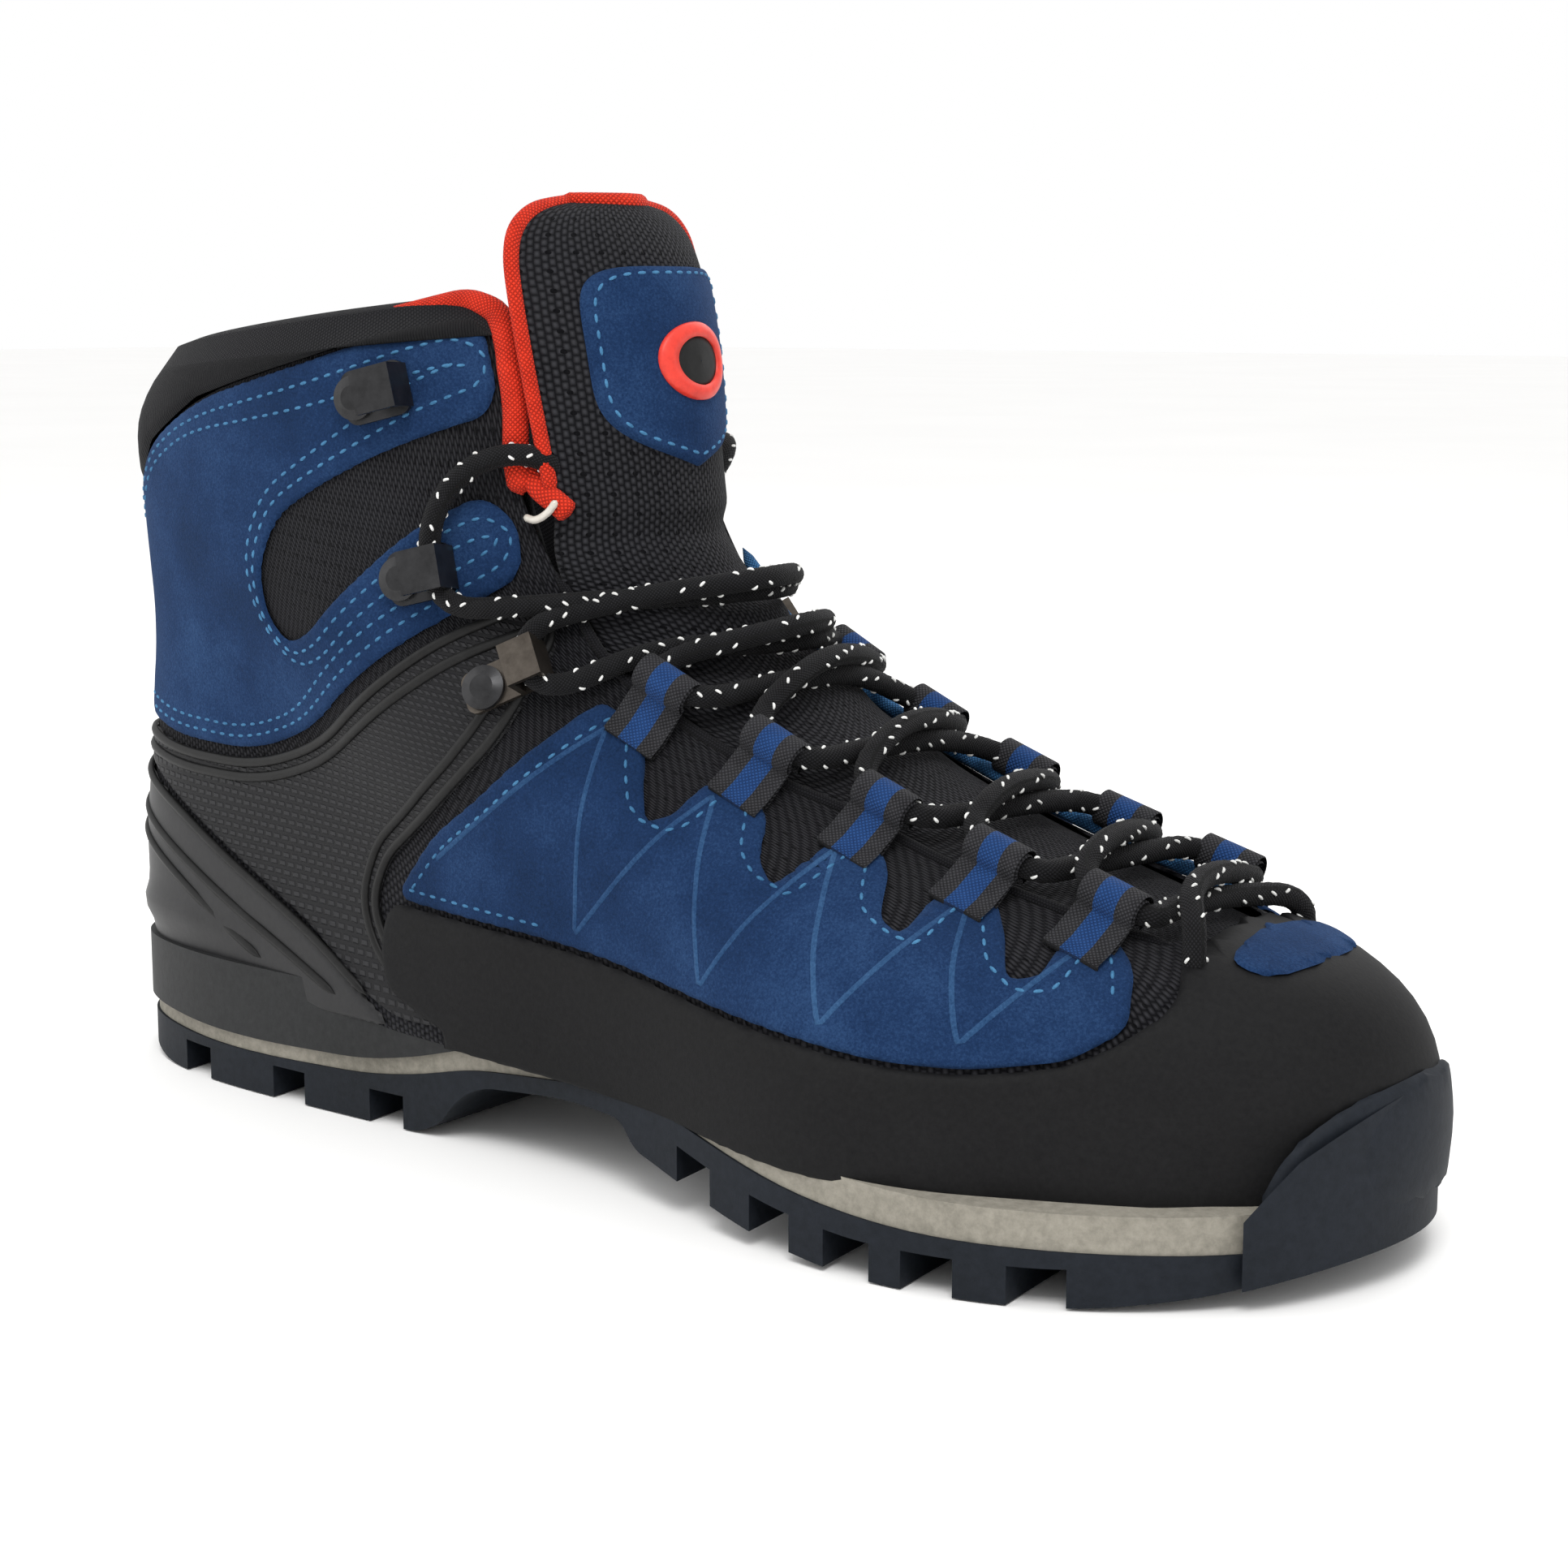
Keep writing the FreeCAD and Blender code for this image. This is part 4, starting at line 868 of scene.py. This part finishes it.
def under_lip(at, plane, edge):
    """The rand thins where the toe bumper lies over it."""
    return -1.8 * np.clip((at[:, 0] - 124) / 8, 0, 1) * np.clip((33 - at[:, 2]) / 7, 0, 1)


keep(patch("counter_shell", counter, 1.0, 0.15, COUNTER_MAT, roll=1.6, relief=ledge),
     "boot", ["heel_counter"])

rand_top = smooth_line(RAND_TOP, 1.5)
rand_low = resampled(np.array(RAND_BOTTOM, float), 2.5, closed=False)
medial = np.vstack([side_to_plane(rand_low[::-1], 1, True), side_to_plane(rand_top, 1, True)])
lateral = np.vstack([side_to_plane(rand_low[::-1], -1, True), side_to_plane(rand_top, -1, True)])
ridge_top = medial[-1, 1]


def level_run(start, stop, step, height):
    """Evenly spaced plane points at one height."""
    places = np.arange(start, stop, step)
    return np.stack([places, np.full(len(places), height)], -1)


across_top = level_run(medial[-1, 0] + 1.2, lateral[-1, 0] - 0.6, 1.2, ridge_top)
across_low = level_run(lateral[0, 0] - 2, medial[0, 0] + 1, -2.0, 0.0)
rand = np.vstack([medial, across_top, lateral[::-1], across_low])
keep(patch("rand_rubber_skin", rand, 2.0, 0.3, RUBBER, grid=2.6, roll=1.4, relief=under_lip),
     "boot", ["rubber_rand"])
TOE_LIP = ((160, 37), (153.5, 35.5), (148.5, 31.5), (144.5, 26), (142, 20), (141.5, 14.5), (147, 12),
           (160, 10))
keep(patch("toe_lip", both_sides(TOE_LIP, True), 1.7, 2.1, LUGS, roll=1.3), "boot")

# piping along the coated panel, ridges over the counter
lines = []
for side in (-1, 1):
    for d in (0.9, 3.9):
        path = side_to_plane(smooth_line(TEXTURE[:17], 1.4), side)
        moved, good = inset(np.vstack([path, [[path[-1, 0], 0]], [[path[0, 0], 0]]]), d)
        lines.append(surface_tube("pipe", moved[2:len(path) - 1], 0.9, 1.15, BADGE_BLACK))
    for points in (((-147, 68), (-125, 60.5), (-105, 51), (-74, 38), (-57, 28)),
                   ((-148, 60), (-128, 52), (-104, 41.5), (-82, 33), (-67, 26.5)),
                   ((-149, 55), (-130, 47.5), (-108, 37.5), (-92, 30.5))):
        path = side_to_plane(smooth_line(points, 1.4), side)
        lines.append(surface_tube("pipe", path, 1.15, 1.1, BADGE_BLACK))
keep(merged("panel_piping", lines), "boot")

ZIGZAG = ((-34, 60), (6, 89), (5, 50), (31, 78), (40, 45.5), (57, 70), (69, 43), (84, 63.5), (94, 42),
          (106, 56))


def ribbon(name, path, width, lift, mat):
    flat = resampled(path, 1.2, closed=False)
    solid = lifted(flat, lift)
    outward = normal_at(flat)
    across = unit(np.cross(unit(np.gradient(solid, axis=0)), outward))
    return grid_mesh(name, [solid + across * (k * width) + outward * h
                            for k, h in ((-0.5, -0.15), (-0.4, 0.0), (0.4, 0.0), (0.5, -0.15))], mat)


bands = []
for side in (-1, 1):
    path = side_to_plane(resampled(np.array(ZIGZAG, float), 1.2, False), side)
    bands.append(ribbon("band", path, 1.2, 1.4, GHOST))
keep(merged("vamp_printed_line", bands), "boot")
keep(seams.build("blue_stitches", THREAD), "boot")

# ---------------------------------------------------------------- collar and lining

UP = np.array([0, 0, 1.0])


def inward(t, level, depth):
    """A point moved in from the form, nearly level."""
    flatter = unit(form_normal(t, level) * np.array([1, 1, 0.2]))
    return form(t, level) - flatter * np.asarray(depth)[..., None]


def seam_level(t):
    """The level at which the collar's outer edge starts, round the boot."""
    pts = side_to_plane(resampled(np.array(SEAM_LINE, float), 2, False), 1)
    ts, ls = plane_to_form(pts)
    order = np.argsort(ts)
    return np.interp(np.abs(t), ts[order], ls[order])


front_t = float(plane_to_form(side_to_plane([(-23.5, 151)], 1))[0][0])
around = np.linspace(-front_t, front_t, 150)
base_level = seam_level(around)
taper = np.sqrt(np.clip((front_t - np.abs(around)) / 1.1, 0, 1))
OUTER_TOP_LEVEL = 11.9
ROLL_LEVEL = 12.3
INNER_TOP_LEVEL = 12.1
INNER_STEP = 0.43
profile = []
for k in range(9):
    s = k / 8
    level = base_level + (OUTER_TOP_LEVEL - base_level) * s
    swell = 2.6 * math.sin(math.pi * (0.1 + 0.62 * s)) ** 0.7 - 0.5 * (k == 0)
    profile.append(inward(around, level, -swell * (0.3 + 0.7 * taper)))
for depth, rise in ((-1.5, 1.7), (1.4, 3.5), (4.6, 3.9), (7.8, 2.3)):
    lift = (rise * (0.3 + 0.7 * taper))[:, None] * UP
    profile.append(inward(around, ROLL_LEVEL, 0.5 * depth / 8 + depth * taper) + lift)
for k in range(14):
    level = INNER_TOP_LEVEL - k * INNER_STEP
    depth = 10.2 + 1.4 * math.sin(k * 0.5) - 0.3 * k * (k > 8)
    profile.append(inward(around, level, 0.6 + (max(depth, 8.0) - 0.6) * taper))
collar = grid_mesh("collar_padding", profile, SOFTSHELL)
keep(collar, "boot", ["collar_pad", "ankle_padding"])

LINING_DEPTH = 5.6
wall = []
around_wall = np.linspace(-TOE + 0.02, TOE - 0.02, 160)
for level in np.linspace(0.9, 7.2, 22):
    reach = np.interp(level, (0, 4, 5, 6, 7, 8), (TOE, TOE, 9.9, 9.2, 8.6, 8.2))
    stations = around_wall * (reach / TOE)
    wall.append(inward(stations, level, LINING_DEPTH))
keep(grid_mesh("inner_lining", wall, LINING), "boot", ["lining"])

BED_X = (-150, -60, 0, 21, 43, 65, 87, 160)
BED_Z = (28.5, 28.5, 28.5, 27.5, 23, 18.8, 17, 16.5)
BED_THICK = 6.4
sole = []
edge = inward(np.linspace(-TOE, TOE, 120), 0.75, 8.2)
centre = edge.mean(0)
for s in np.linspace(0.02, 1, 14):
    x, y, _ = (centre + (edge - centre) * s).T
    z = np.interp(x, BED_X, BED_Z) + BED_THICK
    z = z + 2.2 * s ** 6 - (1.5 if s > 0.99 else 0)
    sole.append(np.stack([np.clip(x, -150, 132), y, z], -1))
keep(grid_mesh("footbed_top", sole, FOOTBED, closed=True), "insole", ["footbed"])

# ---------------------------------------------------------------- tongue

MIDDLE = 20
ACROSS = np.linspace(-1, 1, 2 * MIDDLE + 1)
TONGUE_SWING = 2.5
TONGUE_HALF = 27


def form_row(level, half, depth):
    t = np.linspace(TOE - 4.2, TOE + 4.2, 300)
    p = form(t, level) - form_normal(t, level) * depth
    order = np.argsort(p[:, 1])
    return np.stack([np.interp(ACROSS * half, p[order, 1], p[order, k]) for k in range(3)], -1)


def arc_row(z, front, side_x, half):
    y = ACROSS * half - TONGUE_SWING
    x = front - (front - side_x) * np.abs(ACROSS) ** 1.9
    return np.stack([x - MID_X, y, np.full(len(y), float(z))], -1)


SEWN_ROWS = ((4.05, 17), (4.6, 19), (5.2, 21), (6, 23), (7, 25), (8, 27), (9, 28))
FREE_ROWS = ((120, 6.0, -12, 27), (131, 3.2, -13, 26.5), (142, 2.0, -15, 27), (158, 0.8, -18, 28),
             (172, -2, -20.5, 28.5), (180, -5, -21.8, 28), (185.5, -8.5, -22.3, 25.5),
             (189, -12, -22.3, 20), (190.6, -15, -22, 11))
keys = np.array([form_row(level, half, 1.2) for level, half in SEWN_ROWS]
                + [arc_row(*row) for row in FREE_ROWS])


def smooth_rows(keys, per):
    """Rows between key rows, through all of them."""
    out = []
    for i in range(len(keys) - 1):
        p0, p1 = keys[max(i - 1, 0)], keys[i]
        p2, p3 = keys[i + 1], keys[min(i + 2, len(keys) - 1)]
        for k in range(per):
            q = k / per
            out.append(0.5 * (2 * p1 + (p2 - p0) * q + (2 * p0 - 5 * p1 + 4 * p2 - p3) * q * q
                              + (-p0 + 3 * p1 - 3 * p2 + p3) * q ** 3))
    out.append(keys[-1])
    return np.array(out)


front_rows = smooth_rows(keys, 9)
down = np.gradient(front_rows, axis=0)
side_way = np.gradient(front_rows, axis=1)
front_normal = unit(np.cross(side_way, down))
if front_normal[60, MIDDLE, 0] < 0:
    front_normal = -front_normal
w = np.linspace(0, 1, len(front_rows))[:, None]
z_mid = front_rows[:, MIDDLE, 2]
folds = 0.0 * w
for centre, out_by in ((108.5, 1.6), (93, 1.2), (82, 0.9), (126, -1.2)):
    folds = folds + out_by * np.exp(-((z_mid[:, None] - centre) / 3.0) ** 2)
lift = folds * (1 - np.abs(ACROSS)[None] ** 4)
front_rows = front_rows + front_normal * lift[..., None]
thick = 7.5 * np.sqrt(np.clip(1 - np.abs(ACROSS)[None] ** 5, 0, 1)) * np.clip((1.0 - w) * 14, 0, 1) ** 0.5
thick = thick * np.clip(w * 12 + 0.3, 0, 1)
back_rows = front_rows - front_normal * thick[..., None]
loops = np.concatenate([front_rows, back_rows[:, ::-1][:, 1:-1]], axis=1)
wide = np.concatenate([ACROSS * TONGUE_HALF, ACROSS[::-1][1:-1] * TONGUE_HALF + 60])
uv = np.stack(np.meshgrid(wide, run_along(front_rows[:, MIDDLE])), -1).reshape(-1, 2)
tongue = grid_mesh("tongue_padded", loops, TONGUE_KNIT, closed=True, uv=uv)
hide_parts("tongue_lower", "tongue_upper")
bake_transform(tongue)

upper_start = int(np.argmax(z_mid > 133))
left = front_rows[upper_start:, 0] - front_normal[upper_start:, 0] * 0.5
right = front_rows[upper_start:, -1][::-1] - front_normal[upper_start:, -1][::-1] * 0.5
rim = np.vstack([left, front_rows[-1][1:-1], right])
rim = resampled(rim, 1.2, closed=False)
rim_out = np.tile(np.array([1.0, 0, 0.25]), (len(rim), 1))
keep(tube("tongue_rim", rim, rim_out, 1.9, RED, 12, 0.8), "tongue", ["tongue_binding"])


def tongue_at(a, z):
    """Tongue front at across share a and height z, with its normal."""
    a, z = np.asarray(a, float), np.asarray(z, float)
    row = np.interp(z, z_mid, np.arange(len(z_mid)))
    col = (a + 1) / 2 * (len(ACROSS) - 1)
    r0, c0 = np.minimum(row.astype(int), len(z_mid) - 2), np.minimum(col.astype(int), len(ACROSS) - 2)
    fr, fc = (row - r0)[..., None], (col - c0)[..., None]

    def pick(field):
        return ((field[r0, c0] * (1 - fc) + field[r0, c0 + 1] * fc) * (1 - fr)
                + (field[r0 + 1, c0] * (1 - fc) + field[r0 + 1, c0 + 1] * fc) * fr)
    return pick(front_rows), unit(pick(front_normal))


PATCH_HALF = 0.72
PATCH_LOW, PATCH_HIGH = 145, 178
PATCH_DIP = 7.0
CORNER_POWER = 5.0
SEAM_SHARE = 0.89
PATCH_PITCH = 3.2


def patch_place(a, b):
    """Tongue points at shares a across and b up the patch, whose lower edge dips in the middle."""
    dip = PATCH_DIP * (1 - np.abs(a)) * np.clip(-b, 0, 1)
    z = (PATCH_LOW + PATCH_HIGH) / 2 + b * (PATCH_HIGH - PATCH_LOW) / 2 - dip
    return tongue_at(a * PATCH_HALF, z)


def corner_norm(a, b):
    """Distance from the middle, in rounded squares."""
    return (np.abs(a) ** CORNER_POWER + np.abs(b) ** CORNER_POWER) ** (1 / CORNER_POWER)


grid = np.linspace(-1, 1, 44)
a, b = np.meshgrid(grid, grid)
edge = np.maximum(np.abs(a), np.abs(b))
scale = edge / np.maximum(corner_norm(a, b), 1e-6)
where, out = patch_place(a * scale, b * scale)
rise = np.clip((1 - edge) * 12, 0, 1)
height = 0.1 + 1.2 * np.sqrt(1 - (1 - rise) ** 2) - 0.4 * (edge > 0.999)
pts = where + out * height[..., None]
keep(grid_mesh("tongue_suede", pts, SUEDE, uv=where[..., 1:].reshape(-1, 2)), "tongue",
     ["tongue_patch"])
loop_angle = np.linspace(0, 2 * math.pi, 400)
ca, sa = np.cos(loop_angle), np.sin(loop_angle)
share = SEAM_SHARE / corner_norm(ca, sa)
seam_at, seam_out = patch_place(ca * share, sa * share)
seam_at = seam_at + seam_out * 1.3
run = run_along(seam_at)
at = np.arange(0, run[-1], PATCH_PITCH)
centres = read_at(at, run, seam_at)
heads = read_at(at + STITCH_AHEAD, run, seam_at) - centres + 1e-6
keep(threads("tongue_stitches", centres, heads, read_at(at, run, seam_out), THREAD), "tongue")


BADGE_Z = 159


def oval(name, ry, rz, base, dome, mat, inner=0.0):
    """A domed oval on the tongue patch, open in the middle if inner is given."""
    rows = []
    ring_angle = np.linspace(0, 2 * math.pi, 48, endpoint=False)
    middle = (inner, 0.2) if inner else (0.02, 1.0)
    for s, h in ((1.0, -1.0), (1.0, 0.3), (0.94, 0.75), (0.8, 1.0), (max(inner, 0.55), 1.0), middle):
        y = np.cos(ring_angle) * ry * s
        z = BADGE_Z + np.sin(ring_angle) * rz * s
        where, out = tongue_at(y / TONGUE_HALF + 0.02, z)
        rows.append(where + out * (base + dome * h))
    return grid_mesh(name, rows, mat, closed=True)


keep(oval("badge_ring", 9.0, 7.6, 1.5, 1.0, BADGE_RED, inner=0.62), "tongue",
     ["tongue_badge"])
keep(oval("badge_middle", 5.9, 5.0, 1.4, 0.7, BADGE_BLACK), "tongue")

# ---------------------------------------------------------------- bindings, loops, facings

EDGE_LINE = ((-58, 164), (-45, 166.5), (-35, 168.5), (-28.5, 166), (-25, 160), (-22.8, 151), (-22.0, 140),
             (-20.2, 133))
for side, name in ((-1, "lateral"), (1, "medial")):
    path = side_to_plane(smooth_line(EDGE_LINE, 1.2), side)
    solid = lifted(path, 1.0)
    rise = np.clip((solid[:, 2] - 158) / 8, 0, 1)
    solid = solid + np.stack([0 * rise, -side * 2.0 * rise, 2.6 * rise], -1)
    keep(tube("collar_braid_" + name, solid, normal_at(path), 2.7, RED, 12, 0.75, 34), "boot",
         ["collar_binding_" + name])
    band = [(x - 0.2, z - 0.4) for x, z in FACING[1:12]]
    path = side_to_plane(smooth_line(band, 1.3), side)
    lift, radius, cloth = (1.6, 1.8, PIPING) if side > 0 else (0.0, 1.1, SOFTSHELL)
    keep(surface_tube("facing_edge_" + name, path, lift, radius, cloth, 0.9), "boot",
         ["facing_" + name])

TAIL = ((-23.5, -28.6, 142), (-22.5, -29.0, 138), (-19.5, -29.2, 134.5), (-15.5, -29.0, 132),
        (-12.5, -28, 129.5))
TAG = ((-13.5, -31.0, 132.5), (-15.5, -31.5, 130), (-18.5, -31.8, 128.5), (-21.5, -31.6, 129))
for name, points, radius, mat, sides, flat in (("braid_tail", TAIL, 2.4, RED, 12, 0.7),
                                               ("clear_tag", TAG, 0.8, CLEAR, 8, 1.0)):
    path = smooth_rows(np.array(points)[:, None], 6)[:, 0]
    outward = np.tile(np.array([0.5, -0.8, 0.3]), (len(path), 1))
    keep(tube(name, path, outward, radius, mat, sides, flat), "boot")

LOOP_PLACES = ((13.5, 92), (36.5, 81.5), (60, 72.8), (84, 65), (107, 59))
TUNNEL = LACE + 0.8


def skin_frame(x, z, side, toward):
    here = side_to_plane([(x, z)], side)
    t, level = plane_to_form(here)
    origin = form(t, level)[0]
    outward = form_normal(t, level)[0]
    step = side_to_plane([(x + toward[0] * 1.5, z + toward[1] * 1.5)], side)
    ahead = form(*plane_to_form(step))[0] - origin
    ahead = unit(ahead - outward * np.dot(ahead, outward))
    return origin, ahead, np.cross(outward, ahead), outward


TUNNEL_CENTRE = np.array([4.5, 2.9 + TUNNEL / 2])
sweep = np.linspace(math.radians(-100), math.radians(200), 26)
turn = np.stack([np.cos(sweep), np.sin(sweep)], -1)
strap = np.vstack([[(-8.5, 1.7), (-5, 2.1)], TUNNEL_CENTRE + turn[::-1] * (TUNNEL / 2 + 1.05),
                   TUNNEL_CENTRE + turn * (TUNNEL / 2 - 0.05), [(-5, 0.4), (-8.5, 0.3)]])
pulled_in = strap + unit(strap.mean(0) - strap) * 0.275
strips = ((-6, pulled_in), (-5.75, strap), (-4, strap), (-2, strap), (0, strap), (2, strap), (4, strap),
          (5.75, strap), (6, pulled_in))
strap_uv = np.stack(np.meshgrid(run_along(strap), [s for s, _ in strips]), -1).reshape(-1, 2)
for side, name in ((-1, "lateral"), (1, "medial")):
    straps = []
    for place in LOOP_PLACES:
        origin, ahead_v, across_v, outward_v = skin_frame(*place, side, (0.35, 0.94))
        rows = [origin + shape[:, :1] * ahead_v + shape[:, 1:] * outward_v + s * across_v
                for s, shape in strips]
        straps.append(grid_mesh("strap", rows, WEBBING, closed=True, uv=strap_uv))
    keep(merged("lace_loops_" + name, straps), "boot", ["webbing_loops_" + name])

keep(patch("toe_suede", both_sides(TOE_PATCH, True, step=1.2), 0.7, 2.3, SUEDE), "boot",
     ["toe_patch"])
RIB_HEIGHTS = (88, 98, 108, 118)
RIB_REACH = 1.05
RIB_HALF_LEVEL = 0.46
ribs = []
for z in RIB_HEIGHTS:
    stations = np.linspace(-RIB_REACH, RIB_REACH, 40)
    level = np.interp(z, [ring[1] for ring in RINGS], np.arange(LEVELS))
    rows = []
    for k in np.linspace(-1, 1, 11):
        swell = 3.4 * math.sqrt(max(0, 1 - k * k)) - 0.4
        taper = np.sqrt(np.clip(1 - (np.abs(stations) / 1.06) ** 4, 0, 1))
        here = level + k * RIB_HALF_LEVEL
        rows.append(form(stations, here) + form_normal(stations, here) * (swell * taper)[:, None])
    ribs.append(grid_mesh("rib", rows, SOFTSHELL))
keep(merged("heel_flex_ribs", ribs), "boot", ["achilles_ribs"])

# ---------------------------------------------------------------- stage, light, camera

FLOOR_HALF = 9000
FLOOR_DROP = 0.3
shade = Shade("floor", 0.9)
shade.paint(shade.ramp(shade.noise(3, 2), (0.3, (0.965, 0.96, 0.95)), (0.7, (0.985, 0.98, 0.97))))
corners = [(x * FLOOR_HALF, y * FLOOR_HALF, -FLOOR_DROP) for x, y in ((-1, -1), (1, -1), (1, 1), (-1, 1))]
floor = mesh_object("floor", corners, [(0, 1, 2, 3)], shade.mat, smooth=False)

world = bpy.data.worlds.new("studio")
bpy.context.scene.world = world
world.use_nodes = True
world.node_tree.nodes["Background"].inputs[0].default_value = (1, 1, 1, 1)
world.node_tree.nodes["Background"].inputs[1].default_value = 1.0
bpy.context.scene.view_settings.view_transform = "Standard"


def area_light(name, place, target, size, power):
    data = bpy.data.lights.new(name, "AREA")
    data.size = size
    data.energy = power
    obj = bpy.data.objects.new(name, data)
    obj.location = place
    obj.rotation_euler = (Vector(target) - Vector(place)).to_track_quat("-Z", "Y").to_euler()
    bpy.context.scene.collection.objects.link(obj)


area_light("key", (0.5, -0.7, 1.2), (0, 0, 0.07), 0.6, 10)
area_light("fill", (-1.0, -0.7, 0.6), (0, 0, 0.08), 1.2, 3)
area_light("rim", (-0.2, 1.0, 0.9), (0, 0, 0.1), 1.0, 5)

camera_data = bpy.data.cameras.new("camera")
camera_data.sensor_width = 36
camera_data.lens = 65.22
camera_data.dof.use_dof = False
camera_data.clip_start = 0.01
camera = bpy.data.objects.new("camera", camera_data)
camera.location = (0.3576, -0.4495, 0.170)
camera.rotation_euler = (math.radians(90 - 9.55), 0, math.radians(37))
bpy.context.scene.collection.objects.link(camera)
bpy.context.scene.camera = camera


bpy.context.view_layer.update()
